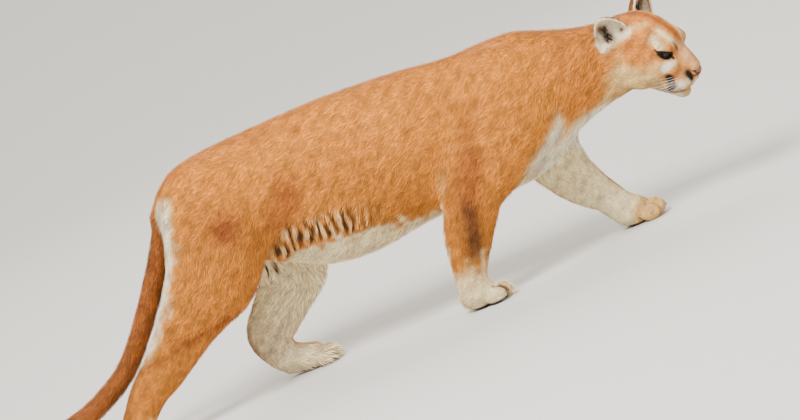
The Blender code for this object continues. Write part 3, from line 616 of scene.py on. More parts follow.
def ripple(p, size, seed):
    """A smooth random field, mostly between -1 and 1, whose waves are about size long."""
    draw = np.random.default_rng(seed)
    waves = draw.normal(size=(12, 3)) * 3.6 / size
    return np.sin(p @ waves.T + draw.uniform(0, 2 * math.pi, 12)).sum(1) / 3.4


def to_head(p):
    """Points of the trunk's frame in the head's own frame and size."""
    return (p - np.array(HEAD_AT)) @ head_frame() / HEAD_SIZE


def on_head(p):
    """1 on the head, 0 on the neck and beyond."""
    h = to_head(p)
    return ease(h[:, 0] + 0.35 * h[:, 2], -0.100, -0.045)


def ear_share(h):
    """How much a point belongs to an ear, and its place there: out of the opening, across and up."""
    share, places = np.zeros(len(h)), np.zeros((len(h), 3))
    for side in (-1, 1):
        q = (h * [1, side, 1] - np.array(EAR_AT[side])) @ ear_frame(side)
        reach = np.sqrt(((q / (np.array(EAR_RADII) + 0.008)) ** 2).sum(1))
        mine = (1 - ease(reach, 0.95, 1.15)) * ease(q[:, 2], -0.036, -0.020)
        mine = mine * (h[:, 1] * side > 0.01)
        places = np.where((mine > share)[:, None], q, places)
        share = np.maximum(share, mine)
    return share, places


def on_nose(h):
    """1 on the bare leather of the nose, for points of the head."""
    across = np.abs(h[:, 1])
    top, share = -0.0105 - 0.30 * across, np.clip((h[:, 2] + 0.0370) / 0.0265, 0, 1)
    wide = 0.0075 + 0.0115 * share ** 0.7
    return ((h[:, 0] > 0.1085) & (h[:, 2] < top) & (h[:, 2] > -0.0370) & (across < wide)).astype(float)


def on_fold(p):
    """How near a point is to the fold of a flank: 1 along its middle, 0 away from it."""
    x, y, z = p.T
    band = 1 - ease(np.abs(z - line_height(FOLD, x)), 0.6 * FOLD_HALF, 1.4 * FOLD_HALF)
    band = band * ease(x, -0.365, -0.335) * (1 - ease(x, -0.13, 0.00))
    return band * ease(np.abs(y), 0.020, 0.045)


def line_height(points, x):
    points = np.array(points)
    return np.interp(x, points[:, 0], points[:, 1])


def coat_depth(p):
    """How deep the skin lies under the tips of the coat."""
    aside = np.abs(p[:, 1])
    depth = toward(BODY_COAT, FACE_COAT, on_head(p))
    depth = toward(depth, PAW_COAT, ease(p[:, 2], 0.240, 0.060) * (aside > 0.03))
    belly = ease(p[:, 2], 0.300, 0.235) * ease(p[:, 0], -0.330, -0.250)
    depth = toward(depth, BELLY_COAT, belly * ease(p[:, 0], 0.200, 0.100) * (aside < 0.10))
    return toward(depth, EAR_COAT, ear_share(to_head(p))[0])


# How near an opening matters to the skin, how round its edge is, how far apart the four points of a gradient
# are, and how far a point is moved at once
LID_REACH, LID_EDGE, SLOPE_REACH, LONGEST_PUSH = 0.01, 0.0010, 0.0006, 0.002


class Skin:
    """The flesh moved inwards by the depth of the coat, with openings cut in it, and flat on the floor."""
    def __init__(self, flesh, openings):
        self.flesh, self.openings = flesh, openings

    def at(self, p):
        d = self.flesh.at(p) + coat_depth(p)
        for form in self.openings:
            near = np.flatnonzero(((p > form.low - LID_REACH) & (p < form.high + LID_REACH)).all(1))
            d[near] = smooth_max(d[near], -form(p[near]), LID_EDGE)
        return np.maximum(d, FLOOR_GAP - p[:, 2])


def slope_at(field, p):
    """The field's gradient from four points around each point."""
    ways = np.array([[1, 1, 1], [1, -1, -1], [-1, 1, -1], [-1, -1, 1]], float)
    return sum(way * field.at(p + SLOPE_REACH * way)[:, None] for way in ways) / (4 * SLOPE_REACH)


def settle(field, p, rounds):
    """Moves points onto the field's surface."""
    for _ in range(rounds):
        gradient = slope_at(field, p)
        push = field.at(p)[:, None] * gradient / np.maximum((gradient ** 2).sum(1), 0.05)[:, None]
        p = p - np.clip(push, -LONGEST_PUSH, LONGEST_PUSH)
    return p


def paint(colour):
    """A screen colour as the linear light that a shader takes."""
    share = np.array(colour) / 255
    return np.where(share < 0.04045, share / 12.92, ((share + 0.055) / 1.055) ** 2.4)


def lay(colours, colour, mask):
    """Paints a colour over others, as far as the mask lets it, in steps that look even."""
    return toward(np.sqrt(colours), np.sqrt(paint(colour)), np.clip(mask, 0, 1)[:, None]) ** 2


def spot(p, middle, radius):
    """A soft round mark, 1 at its middle and about 0.1 at its radius."""
    return np.exp(-2.3 * ((p - np.array(middle)) ** 2).sum(1) / radius ** 2)


def streak(p, start, end, radius):
    """A soft mark along a straight line."""
    a, d = np.array(start), np.array(end) - np.array(start)
    t = np.clip((p - a) @ d / (d @ d), 0, 1)
    return np.exp(-2.3 * ((p - a - t[:, None] * d) ** 2).sum(1) / radius ** 2)


def lay_streaks(c, p, streaks, share=1.0):
    for colour, strength, start, end, radius in streaks:
        c = lay(c, colour, strength * share * streak(p, start, end, radius))
    return c


# Marks of the body, some of them painted shade in its hollows and creases, laid one over another and on both
# sides alike: colour, strength, start, end, radius
# The crease of each hind leg, where rust is laid as painted shade
SHADED_CREASE = ((-0.435, -0.115, 0.227), (-0.569, -0.120, 0.215), (-0.700, -0.090, 0.185))
BUTTOCK = ((-0.479, -0.098, 0.530), (-0.513, -0.110, 0.444), (-0.570, -0.102, 0.353), (-0.640, -0.090, 0.250))
BODY_STREAKS = [
    # Painted shade: rust over the hollow of the flank in front of the thigh
    (RUST, 0.60, (-0.215, -0.110, 0.438), (-0.262, -0.105, 0.380), 0.060),
    (DUSKY_AND_SHADE, 0.85, (0.150, -0.143, 0.235), (0.122, -0.130, 0.135), 0.034),
    (RUST, 0.60, (0.200, -0.135, 0.330), (0.165, -0.140, 0.270), 0.045),
    (CREAM, 0.45, (0.126, -0.125, 0.338), (0.112, -0.118, 0.300), 0.016),
    (DUSKY_AND_SHADE, 0.65, (0.120, -0.128, 0.292), (0.146, -0.136, 0.306), 0.016),
    # Painted shade: rust along the crease behind the shoulder
    (RUST, 0.40, (0.234, -0.127, 0.440), (0.205, -0.130, 0.350), 0.035),
    # Painted shade: rust along the crease of each hind leg
    *[(RUST, 0.60, start, end, 0.018) for start, end in zip(SHADED_CREASE, SHADED_CREASE[1:])],
]
BUTTOCK_STREAKS = [(WHITE, 0.55, start, end, 0.014) for start, end in zip(BUTTOCK, BUTTOCK[1:])]
THIGH_PATCH = (-0.382, -0.142, 0.421)


def body_marks(p, n):
    """Tawny back, duller flanks, and the rust and smudged marks of body and legs, with painted shade in rust
    over the flank's hollow and along the creases behind the shoulder and of the hind legs.
    """
    x, _, z = p.T
    rows = np.array(TRUNK)
    top, bottom = np.interp(x, rows[:, 0], rows[:, 1]), np.interp(x, rows[:, 0], rows[:, 2])
    height = np.clip((z - bottom) / (top - bottom), 0, 1)
    wide = ripple(p, 0.10, 3)
    c = toward(paint(GOLD), paint(TAWNY), ease(height + 0.10 * wide, 0.25, 0.85)[:, None])
    c = lay(c, TAWNY, 0.7 * ease(x + 0.05 * wide, 0.02, 0.25) * ease(height, -0.2, 0.5))
    c = lay(c, NECK_TAN, 0.7 * ease(x, 0.40, 0.50))
    c = lay(c, RUST, 0.20 * ease(height, 0.92, 1.0) * ease(np.abs(n[:, 2]), 0.6, 1.0))
    right = onto_side(p, -1)
    c = lay(c, RUST, 0.95 * spot(right, THIGH_PATCH, 0.054))
    return lay_streaks(c, right, BODY_STREAKS)


def pale_marks(c, p, n):
    """Cream inner legs and paws, white belly, chest and rump, the dark pads of the paws, and painted shade in
    the gaps between the toes.
    """
    x, y, z = p.T
    inward = -np.sign(y) * n[:, 1] + 0.10 * ripple(p, 0.05, 11)
    legs = (1 - ease(z, 0.27, 0.35)) * (np.abs(y) > 0.02)
    c = lay(c, CREAM, 0.92 * ease(inward, 0.25, 0.65) * legs)
    fringe = ease(-n[:, 0] + 0.15 * ripple(p, 0.03, 23), 0.70, 0.98) * (x > 0) * (z < 0.27)
    c = lay(c, CREAM, 0.75 * fringe * (np.abs(y) > 0.03))
    wrists = (1 - ease(z + 0.012 * ripple(p, 0.03, 25), 0.085, 0.135)) * (x > 0)
    c = lay(c, CREAM, 0.70 * wrists)
    c = lay(c, GREY, 0.35 * legs * ease(inward, 0.3, 0.8) * (x < -0.1) * ease(0.20 - z, 0, 0.1))
    edge = line_height(WHITE_EDGE, x) + 0.012 * ripple(p, 0.03, 7)
    trunk = ease(x, -0.36, -0.30) * (1 - ease(x, 0.04, 0.10))
    trunk = trunk * (1 - ease(Trunk(TRUNK)(p), 0.004, 0.018))
    c = lay(c, BELLY_CREAM, 0.95 * ease(edge - z, -0.006, 0.014) * trunk)
    under = ease(-n[:, 2] + 0.15 * ripple(p, 0.05, 9), 0.45, 0.85) * ease(x, 0.00, 0.10)
    under = under * (1 - ease(np.abs(y), 0.050, 0.075))
    c = lay(c, CREAM, 0.9 * under * (z > 0.13))
    front = ease(0.7 * n[:, 0] - 0.6 * n[:, 2] - 0.25 * np.abs(n[:, 1]), 0.20, 0.60)
    chest = front * ease(x, 0.27, 0.34) * (1 - ease(x, 0.50, 0.58)) * (z > 0.13)
    c = lay(c, WHITE, 0.85 * chest * (1 - ease(z, 0.33, 0.40)))
    rear = ease(-n[:, 0] + 0.1 * ripple(p, 0.04, 13), 0.30, 0.75) * ease(-x, 0.40, 0.46)
    rear = rear * ease(z, 0.17, 0.24) * (1 - ease(z, 0.52, 0.55)) * (np.abs(y) > 0.030)
    c = lay(c, WHITE, 0.85 * rear)
    c = lay_streaks(c, onto_side(p, -1), BUTTOCK_STREAKS)
    c = lay(c, DUSKY_AND_SHADE, 0.45 * ease(-n[:, 0], 0.3, 0.8) * (x < -0.3) * (z < 0.2) * (np.abs(y) > 0.03))
    paws = (1 - ease(z + 0.008 * ripple(p, 0.03, 15), 0.040, 0.095)) * (np.abs(y) > 0.03)
    c = lay(c, CREAM, 0.80 * paws)
    for at, heading, size in PAWS.values():
        q = (p - np.array([at[0], at[1], 0])) @ turn("z", heading) / size
        # Painted shade in the gaps between the toes
        toes = (q[:, 0] > 0.022) * (q[:, 0] < 0.08) * (z < 0.042)
        for gap in TOE_SHADE_GAPS:
            c = lay(c, DUSKY_AND_SHADE, 0.85 * np.exp(-((q[:, 1] - gap) / TOE_SHADE_HALF) ** 2) * toes)
    return lay(c, PAD_BROWN, ease(0.010 - z, 0, 0.006) * ease(-n[:, 2], 0.2, 0.6))


def comb_shade_bars(c, p):
    """Dark bars of painted shade between the standing locks, and cream bars side by side with them, across
    the fold of each flank.
    """
    band = on_fold(p)
    along = p[:, 0] - COMB_LEAN * p[:, 2]
    bars = np.sin(2 * math.pi * along / COMB_PITCH + 1.3 * ripple(p, 0.045, 17))
    uneven = np.clip(0.75 + 0.45 * ripple(p, 0.03, 27), 0, 1)
    c = lay(c, CREAM, 0.70 * band * uneven * ease(-bars, 0.0, 0.8))
    # Painted shade between the locks of the comb
    return lay(c, COMB_SHADE, 1.15 * band * uneven * ease(bars, 0.0, 0.6))


def tail_marks(c, p):
    on_tail = (1 - ease(Limb(TAIL)(p), 0.006, 0.016)) * ease(-p[:, 0], 0.505, 0.535)
    on_tail = on_tail * (np.abs(p[:, 1]) < 0.05)
    c = lay(c, TAIL_BROWN, 0.9 * on_tail)
    return lay(c, TAIL_END, on_tail * ease(-p[:, 0] + 0.01 * ripple(p, 0.02, 19), 0.87, 0.955))


def eye_place(h):
    """Points of the head in the eye's own frame: out along its gaze, outwards and up."""
    return (onto_side(h, 1) - np.array(EYE_AT)) @ (turn("z", EYE_GAZE) @ turn("x", EYE_SLANT))


def eye_marks(c, h):
    """The black rim of the lids, drawn out at both corners."""
    out, across, up = eye_place(h).T
    wide, tall = EYE_LENS[1], EYE_LENS[2]
    rim = (across / (wide + 0.0040)) ** 2 + (up / (tall + 0.0040)) ** 2
    near = (out > 0.000) & (out < 0.03)
    flat = np.stack([0 * out, across, up], 1)
    outer = streak(flat, (0, wide, 0.000), (0, wide + 0.012, 0.003), 0.0030)
    inner = streak(flat, (0, -wide, -0.001), (0, -wide - 0.008, -0.007), 0.0032)
    corners = 1.5 * np.maximum(outer, inner)
    return lay(c, RIM_BLACK, near * np.maximum(1 - ease(rim, 0.85, 1.35), corners))


# Marks of the face, with painted shade in grey under the jaw, laid one over another and on both sides alike:
# colour, strength, start, end, radius
FACE_STREAKS = [
    (TEMPLE, 0.95, (-0.044, 0.050, 0.037), (-0.010, 0.024, 0.061), 0.016),
    (TEMPLE, 0.90, (0.080, 0.034, 0.000), (0.040, 0.056, -0.016), 0.024),
    (TEMPLE, 0.80, (-0.055, 0.068, -0.002), (-0.040, 0.072, -0.020), 0.016),
    (CREAM, 0.90, (0.020, 0.026, 0.057), (0.060, 0.021, 0.036), 0.014),
    (CREAM, 1.00, (0.020, 0.045, 0.042), (0.040, 0.048, 0.030), 0.0175),
    (CHEEK, 1.30, (0.034, 0.058, -0.050), (-0.030, 0.068, -0.056), 0.042),
    (FACE_ORANGE, 0.85, (0.014, 0.062, 0.000), (-0.030, 0.070, -0.023), 0.013),
    (FACE_ORANGE, 0.60, (0.013, 0.060, 0.007), (0.003, 0.058, 0.017), 0.010),
    (MUZZLE_TAN, 0.60, (0.047, 0.056, -0.028), (0.030, 0.063, -0.024), 0.008),
    (BRIDGE, 0.90, (0.070, 0.008, 0.024), (0.112, 0.006, -0.008), 0.024),
    (MUZZLE_TAN, 0.80, (0.090, 0.032, -0.028), (0.096, 0.026, -0.020), 0.013),
    (DUSKY_AND_SHADE, 0.60, (0.058, 0.022, 0.038), (0.068, 0.019, 0.022), 0.0065),
    (WHITE, 1.10, (0.058, 0.050, -0.018), (0.064, 0.046, -0.006), 0.0135),
    (WHITE, 1.00, (0.064, 0.046, -0.006), (0.072, 0.037, -0.001), 0.0085),
    (WHITE, 1.10, (0.108, 0.020, -0.040), (0.096, 0.036, -0.050), 0.0160),
    (WHITE, 0.90, (0.116, 0.003, -0.045), (0.115, 0.004, -0.060), 0.0100),
    (CREAM, 0.90, (0.106, 0.000, -0.086), (0.086, 0.024, -0.084), 0.0130),
    # Painted shade: grey under the jaw
    (GREY, 0.50, (0.034, 0.037, -0.082), (0.060, 0.025, -0.086), 0.0160),
    (DARK, 1.50, (0.0705, 0.046, -0.035), (0.0780, 0.039, -0.058), 0.0120),
    (DARK, 1.40, (0.0780, 0.039, -0.058), (0.0720, 0.032, -0.082), 0.0110),
    (DARK, 1.80, (0.114, 0.000, -0.0660), (0.106, 0.011, -0.0665), 0.0055),
    (DARK, 1.80, (0.106, 0.011, -0.0665), (0.095, 0.0195, -0.0730), 0.0055),
    (DARK, 1.80, (0.095, 0.0195, -0.0730), (0.078, 0.027, -0.0815), 0.0052),
    (DARK, 1.60, (0.103, 0.023, -0.0230), (0.112, 0.017, -0.0340), 0.0098),
]
NOSTRIL = (0.122, 0.0095, -0.0260)


def face_marks(c, p, n):
    h = to_head(p)
    m, face = onto_side(h, 1), on_head(p)
    c = lay(c, FACE_ORANGE, 0.8 * face)
    c = lay(c, RUST, 0.65 * face * np.exp(-(m[:, 1] / 0.0075) ** 2) * ease(m[:, 2], 0.020, 0.035))
    c = lay(c, CHEEK, 0.85 * face * ease(-m[:, 2], 0.048, 0.066))
    c = lay_streaks(c, m, FACE_STREAKS, face)
    nose = on_nose(h) * face
    c = lay(c, NOSE_PINK, nose)
    nostril = np.maximum(spot(m, NOSTRIL, 0.0068), ease(m[:, 1], 0.011, 0.016))
    c = eye_marks(lay(c, DARK, nose * nostril), h)
    return ear_marks(c, n, h)


def ear_marks(c, n, h):
    """Smudged backs, white insides with painted shade deep in their hollow and two darker places, and pale
    rims.
    """
    share, q = ear_share(h)
    inner = ease(slope_of_ear(n, h), 0.0, 0.35)
    c = lay(c, DUSKY_AND_SHADE, 0.75 * share * (1 - inner) * ease(q[:, 2], -0.02, 0.02))
    c = lay(c, WHITE, 0.90 * share * inner)
    # Painted shade deep in the hollow of the ear, mottled
    hollow_shade = streak(q, (-0.018, 0.012, 0.006), (-0.004, 0.014, -0.022), 0.0145)
    hollow_shade = hollow_shade * (1 + 0.35 * ripple(q, 0.012, 29))
    c = lay(c, DARK, 1.25 * share * inner * hollow_shade)
    c = lay(c, DUSKY_AND_SHADE, 1.20 * share * inner * spot(q, (-0.006, -0.019, -0.014), 0.007))
    c = lay(c, DUSKY_AND_SHADE, 0.80 * share * inner * spot(q, (-0.015, 0.016, 0.018), 0.013))
    rim = np.maximum(ease(q[:, 2], 0.034, 0.042), ease(q[:, 0], -0.004, 0.004))
    return lay(c, CREAM, 0.7 * share * rim)


def slope_of_ear(n, h):
    """How far a normal points out of the opening of the nearer ear."""
    local = n @ head_frame()
    facing = np.zeros(len(h))
    for side in (-1, 1):
        out = ear_frame(side)[:, 0] * [1, side, 1]
        facing = np.where(h[:, 1] * side > 0, local @ out, facing)
    return facing


def markings(p, n):
    """The colours of skin and coat at points of the trunk's frame with normals n."""
    c = pale_marks(body_marks(p, n), p, n)
    c = tail_marks(comb_shade_bars(c, p), p)
    c = face_marks(c, p, n)
    return np.clip(c * (1 + 0.06 * ripple(p, 0.035, 21))[:, None], 0, 1)


def add_object(name, data):
    thing = bpy.data.objects.new(name, data)
    bpy.context.scene.collection.objects.link(thing)
    return thing


def mesh_object(name, points, faces):
    mesh = bpy.data.meshes.new(name)
    mesh.from_pydata(points.tolist(), [], faces.tolist())
    mesh.update()
    mesh.shade_smooth()
    return add_object(name, mesh)


def refine_faces(mesh, fine):
    """Splits the faces that fine names in four, and the ones beside them to fit."""
    shape = bmesh.new()
    shape.from_mesh(mesh)
    shape.faces.ensure_lookup_table()
    edges = {edge for index in fine for edge in shape.faces[index].edges}
    bmesh.ops.subdivide_edges(shape, edges=list(edges), cuts=1, use_grid_fill=True)
    bmesh.ops.triangulate(shape, faces=[face for face in shape.faces if len(face.verts) > 4])
    shape.to_mesh(mesh)
    shape.free()


def read_numbers(items, key, width=3):
    flat = np.empty(len(items) * width, np.float32)
    items.foreach_get(key, flat)
    return flat.reshape(-1, width).astype(float)


def points_and_normals(mesh):
    return read_numbers(mesh.vertices, "co"), read_numbers(mesh.vertices, "normal")


def set_points(mesh, points):
    mesh.vertices.foreach_set("co", points.astype(np.float32).ravel())
    mesh.update()


def colour_mesh(mesh, colours):
    """Keeps a colour for each point of a mesh, for its material to read."""
    layer = mesh.attributes.new("coat_colour", "FLOAT_COLOR", "POINT")
    rgba = np.ones((len(colours), 4), np.float32)
    rgba[:, :3] = colours
    layer.data.foreach_set("color", rgba.ravel())


def detail_wanted(p, level):
    """Where the skin is finer: head, ears and paws once, eyes and muzzle twice, lids and nose three times."""
    h = to_head(p)
    head = (h[:, 0] > -0.13) & (p[:, 0] > 0.5) & ((h[:, 0] > -0.07) | (ear_share(h)[0] > 0.05))
    if level == 0:
        return head | (p[:, 2] < 0.062)
    from_eye = np.sqrt((eye_place(h) ** 2).sum(1))
    if level == 1:
        return head & ((from_eye < 0.030) | ((h[:, 0] > 0.058) & (h[:, 2] < 0.0)))
    tip = (h[:, 0] > 0.103) & (np.abs(h[:, 1]) < 0.021) & (np.abs(h[:, 2] + 0.026) < 0.018)
    return head & ((from_eye < 0.021) | tip)


# How much smaller than EYE_RADIUS the socket and the ball are, and how far the cornea swells
SOCKET_TIGHT, BALL_LESS, CORNEA = 0.0006, 0.0009, 0.0006


def eye_openings():
    """What is cut from the skin for the eyes: the balls' sockets, and the almonds between the lids."""
    forms = []
    for side in (-1, 1):
        frame = head_frame() @ np.diag([1, side, 1]) @ turn("z", EYE_GAZE) @ turn("x", EYE_SLANT)
        middle = head_point(EYE_AT, side)
        forms.append(Ball(middle, EYE_RADIUS - SOCKET_TIGHT))
        forms.append(Ball(middle + frame[:, 0] * EYE_RADIUS, EYE_LENS, frame))
    return forms


def make_skin(field):
    skin_field = Skin(field, eye_openings())
    grid, low = sample(skin_field, SKIN_LOW, SKIN_HIGH, SKIN_GRID)
    points, quads = surface_nets(fill_checkered(grid), low, SKIN_GRID)
    skin = mesh_object("skin", points, quads)
    for level in range(3):
        middles = read_numbers(skin.data.polygons, "center")
        refine_faces(skin.data, np.flatnonzero(detail_wanted(middles, level)).tolist())
        points = read_numbers(skin.data.vertices, "co")
        fine = np.flatnonzero(detail_wanted(points, level))
        points[fine] = settle(skin_field, points[fine], 1)
        set_points(skin.data, points)
    set_points(skin.data, settle(skin_field, read_numbers(skin.data.vertices, "co"), 2))
    skin.data.shade_smooth()
    return skin


# Tufts: width as a share of length, how much of the skin they cover, their greatest number, half the size of
# their patch of the OFBake map, how steeply they stand on the fold, and how deep their roots are
TUFT_WIDTH, TUFT_COVER, TUFT_LIMIT = 0.075, 1.75, 480000
PATCH, FOLD_RISE, ROOT_DEPTH = 0.0014, 0.42, 0.0008
# Brightness of a tuft's root, sides and tip against its markings: the dark root is painted shade deep in the
# coat
TUFT_SHADES = (0.42, 0.92, 0.92, 1.32)

# Lengths of the hair: body, what neck, belly and fold add, legs, tail, face, snout, what the jaw adds, ears
BODY_HAIR, NECK_MORE, BELLY_MORE, FOLD_MORE, LEG_HAIR, TAIL_HAIR = 0.015, 0.004, 0.007, 0.006, 0.0055, 0.015
FACE_HAIR, SNOUT_HAIR, JAW_MORE, EAR_HAIR = 0.0095, 0.0032, 0.004, 0.0055

REGIONS = ["head_right", "neck", "right_front", "right_rear", "left_front", "left_rear",
           "fore_right", "fore_left", "hind_right", "hind_left", "tail", "head_left"]
LEG_TOP = [(-0.60, 0.42), (-0.30, 0.29), (0.1, 0.27), (0.6, 0.28)]


def limb_flow(limb, p):
    """The distance to a limb, the way along it and the share of its length, at the nearest place."""
    best, way, along = np.full(len(p), FAR), np.zeros((len(p), 3)), np.zeros(len(p))
    spans = len(limb.p) - 1
    for i in range(spans):
        d = limb.p[i + 1] - limb.p[i]
        t = np.clip((p - limb.p[i]) @ d / (d @ d), 0, 1)
        away = np.linalg.norm(p - limb.p[i] - t[:, None] * d, axis=1) - limb.r[i].mean()
        closer = away < best
        best = np.where(closer, away, best)
        way[closer] = d / np.linalg.norm(d)
        along = np.where(closer, (i + t) / spans, along)
    return best, way, along


def paw_flow(p):
    """Forwards over the toes."""
    ways, share = np.zeros((len(p), 3)), np.zeros(len(p))
    for at, heading, _ in PAWS.values():
        near = np.linalg.norm((p - [at[0] + 0.01, at[1], 0.02]) * [1, 1, 1.5], axis=1)
        mine = 1 - ease(near, 0.045, 0.075)
        forward = turn("z", heading) @ np.array([0.85, 0, -0.5])
        ways += mine[:, None] * forward
        share = np.maximum(share, mine)
    return ways, share


def head_flow(p):
    """From the nose back over the face, parting round the eyes, and up the ears."""
    h = to_head(p)
    way = np.stack([np.full(len(h), -1.0), 0.9 * h[:, 1] / 0.05, np.where(h[:, 2] < -0.02, -0.45, 0.0)], 1)
    side = np.where(h[:, 1] > 0, 1.0, -1.0)
    share, _ = ear_share(h)
    up = np.stack([ear_frame(int(s))[:, 2] * [1, s, 1] for s in (-1, 1)])
    ear_way = np.where((side < 0)[:, None], up[0], up[1])
    return toward(way, 3.0 * ear_way, share[:, None]) @ head_frame().T


def lie_of_coat(p, n):
    """The way that the coat lies at each point, in the plane of the skin."""
    x, y, z = p.T
    down = ease(0.54 - z, 0.0, 0.25)
    trunk_way = np.stack([np.full(len(p), -1.0), 0.25 * np.sign(y) * (1 - down), -0.35 - 0.55 * down], 1)
    total = trunk_way * np.exp(-np.clip(Trunk(TRUNK)(p), 0, 1) / 0.012)[:, None]
    for joints in LEGS.values():
        away, way, along = limb_flow(Limb(joints), p)
        pull = np.exp(-np.clip(away, 0, 1) / 0.012) * ease(along, 0.10, 0.40)
        total += 2.5 * pull[:, None] * way
    away, way, _ = limb_flow(Limb(TAIL), p)
    total += 3.0 * (np.exp(-np.clip(away, 0, 1) / 0.010) * ease(-x, 0.50, 0.53))[:, None] * way
    ways, share = paw_flow(p)
    total = toward(total, ways, share[:, None])
    total = toward(total, np.array([-0.15, 0.0, -1.0]), on_fold(p)[:, None])
    total = toward(total, head_flow(p), on_head(p)[:, None])
    flat = total - n * (total * n).sum(1)[:, None]
    return flat / np.maximum(np.linalg.norm(flat, axis=1), 1e-6)[:, None]


def coat_length(p):
    """The length of the tufts in metres."""
    x, y, z = p.T
    h, aside = to_head(p), np.abs(y)
    length = BODY_HAIR + NECK_MORE * ease(x, 0.35, 0.50)
    belly = ease(0.26 - z, 0, 0.04) * (aside < 0.11) * (x > -0.36) * (x < 0.30)
    length += BELLY_MORE * belly
    length += FOLD_MORE * on_fold(p)
    length = toward(length, LEG_HAIR, ease(0.27 - z, 0.0, 0.20) * (aside > 0.03) * (1 - belly))
    length = toward(length, TAIL_HAIR, ease(-x, 0.52, 0.56) * (aside < 0.045))
    face = toward(FACE_HAIR, SNOUT_HAIR, ease(h[:, 0], 0.0, 0.085))
    face = face + JAW_MORE * ease(-h[:, 2], 0.035, 0.060) * (1 - ease(h[:, 0], 0.03, 0.07))
    length = toward(length, face, on_head(p))
    return toward(length, EAR_HAIR, ear_share(h)[0])


def bare(p, n):
    """1 where no hair grows: nose, eyes and their rims, lips, and the pads under the paws."""
    h = to_head(p)
    out, across, up = eye_place(h).T
    eye = ((across / (EYE_LENS[1] + 0.0022)) ** 2 + (up / (EYE_LENS[2] + 0.0020)) ** 2 < 1) & (out > 0)
    nose = on_nose(h) > 0.5
    sole = (p[:, 2] < 0.006) | ((p[:, 2] < 0.012) & (n[:, 2] < -0.3))
    return (on_head(p) > 0.5) & (eye | nose) | sole


def region_of(p):
    """The coat piece that each point belongs to, as a place in REGIONS."""
    x, y, z = p.T
    at, right = REGIONS.index, y < 0
    place = np.where(right, at("right_front"), at("left_front")) + (x < -0.05)
    legs = (z < line_height(LEG_TOP, x)) & (np.abs(y) > 0.035)
    flank = (x > -0.34) & (x < 0.05) & (z > 0.22)
    leg = np.where(x < -0.16, at("hind_right"), at("fore_right")) + (y > 0)
    place = np.where(legs & ~flank, leg, place)
    place = np.where(x > 0.46, at("neck"), place)
    place = np.where((Limb(TAIL)(p) < 0.012) & (x < -0.52) & (np.abs(y) < 0.045), at("tail"), place)
    head = np.where(to_head(p)[:, 1] < 0, at("head_right"), at("head_left"))
    return np.where(on_head(p) > 0.5, head, place)


def chart(p, region):
    """Where a point lies on a cut-open wrap of its region: along it and round it, 0 to 1."""
    if region.startswith("head"):
        q = to_head(p)
        along, spread, lift = (q[:, 0] + 0.14) / 0.28, q[:, 1], q[:, 2]
    elif region == "tail":
        _, _, along = limb_flow(Limb(TAIL), p)
        line = np.array(TAIL)
        spread, lift = p[:, 1] - 0.006, p[:, 2] - np.interp(-p[:, 0], -line[:, 0], line[:, 2])
    elif region in LEGS:
        limb = Limb(LEGS[region])
        _, _, along = limb_flow(limb, p)
        middle = limb.p[np.clip((along * (len(limb.p) - 1)).round().astype(int), 0, len(limb.p) - 1)]
        spread, lift = p[:, 0] - middle[:, 0], p[:, 1] - middle[:, 1]
    else:
        along, spread, lift = (p[:, 0] + 0.60) / 1.30, p[:, 1], p[:, 2] - 0.41
    around = np.arctan2(spread, lift) / (2 * math.pi) + 0.5
    return np.stack([0.01 + 0.98 * np.clip(along, 0, 1), 0.01 + 0.98 * around], 1)


def scatter(skin, draw):
    """Roots of tufts over the skin, each with its normal, more of them where the hair is short."""
    mesh = skin.data
    mesh.calc_loop_triangles()
    corners = np.empty(len(mesh.loop_triangles) * 3, np.int32)
    mesh.loop_triangles.foreach_get("vertices", corners)
    corners = corners.reshape(-1, 3)
    points, normals = points_and_normals(mesh)
    a, b, c = (points[corners[:, i]] for i in range(3))
    area = np.linalg.norm(np.cross(b - a, c - a), axis=1) / 2
    middles, facing = (a + b + c) / 3, normals[corners].mean(1)
    length = coat_length(middles)
    wanted = area * TUFT_COVER / (0.5 * TUFT_WIDTH * length ** 2) * ~bare(middles, facing)
    wanted *= min(1.0, TUFT_LIMIT / wanted.sum())
    steps = np.cumsum(wanted)
    count = int(steps[-1])
    chosen = np.searchsorted(steps, np.arange(count) + draw.random(count)).clip(0, len(area) - 1)
    u, v = draw.random(count), draw.random(count)
    flip = u + v > 1
    u, v = np.where(flip, 1 - u, u), np.where(flip, 1 - v, v)
    share = np.stack([1 - u - v, u, v], 1)[:, :, None]
    chosen = corners[chosen]
    ways = lie_of_coat(points, normals)
    root = (points[chosen] * share).sum(1)
    normal, way = (normals[chosen] * share).sum(1), (ways[chosen] * share).sum(1)
    return root, unit(normal), way


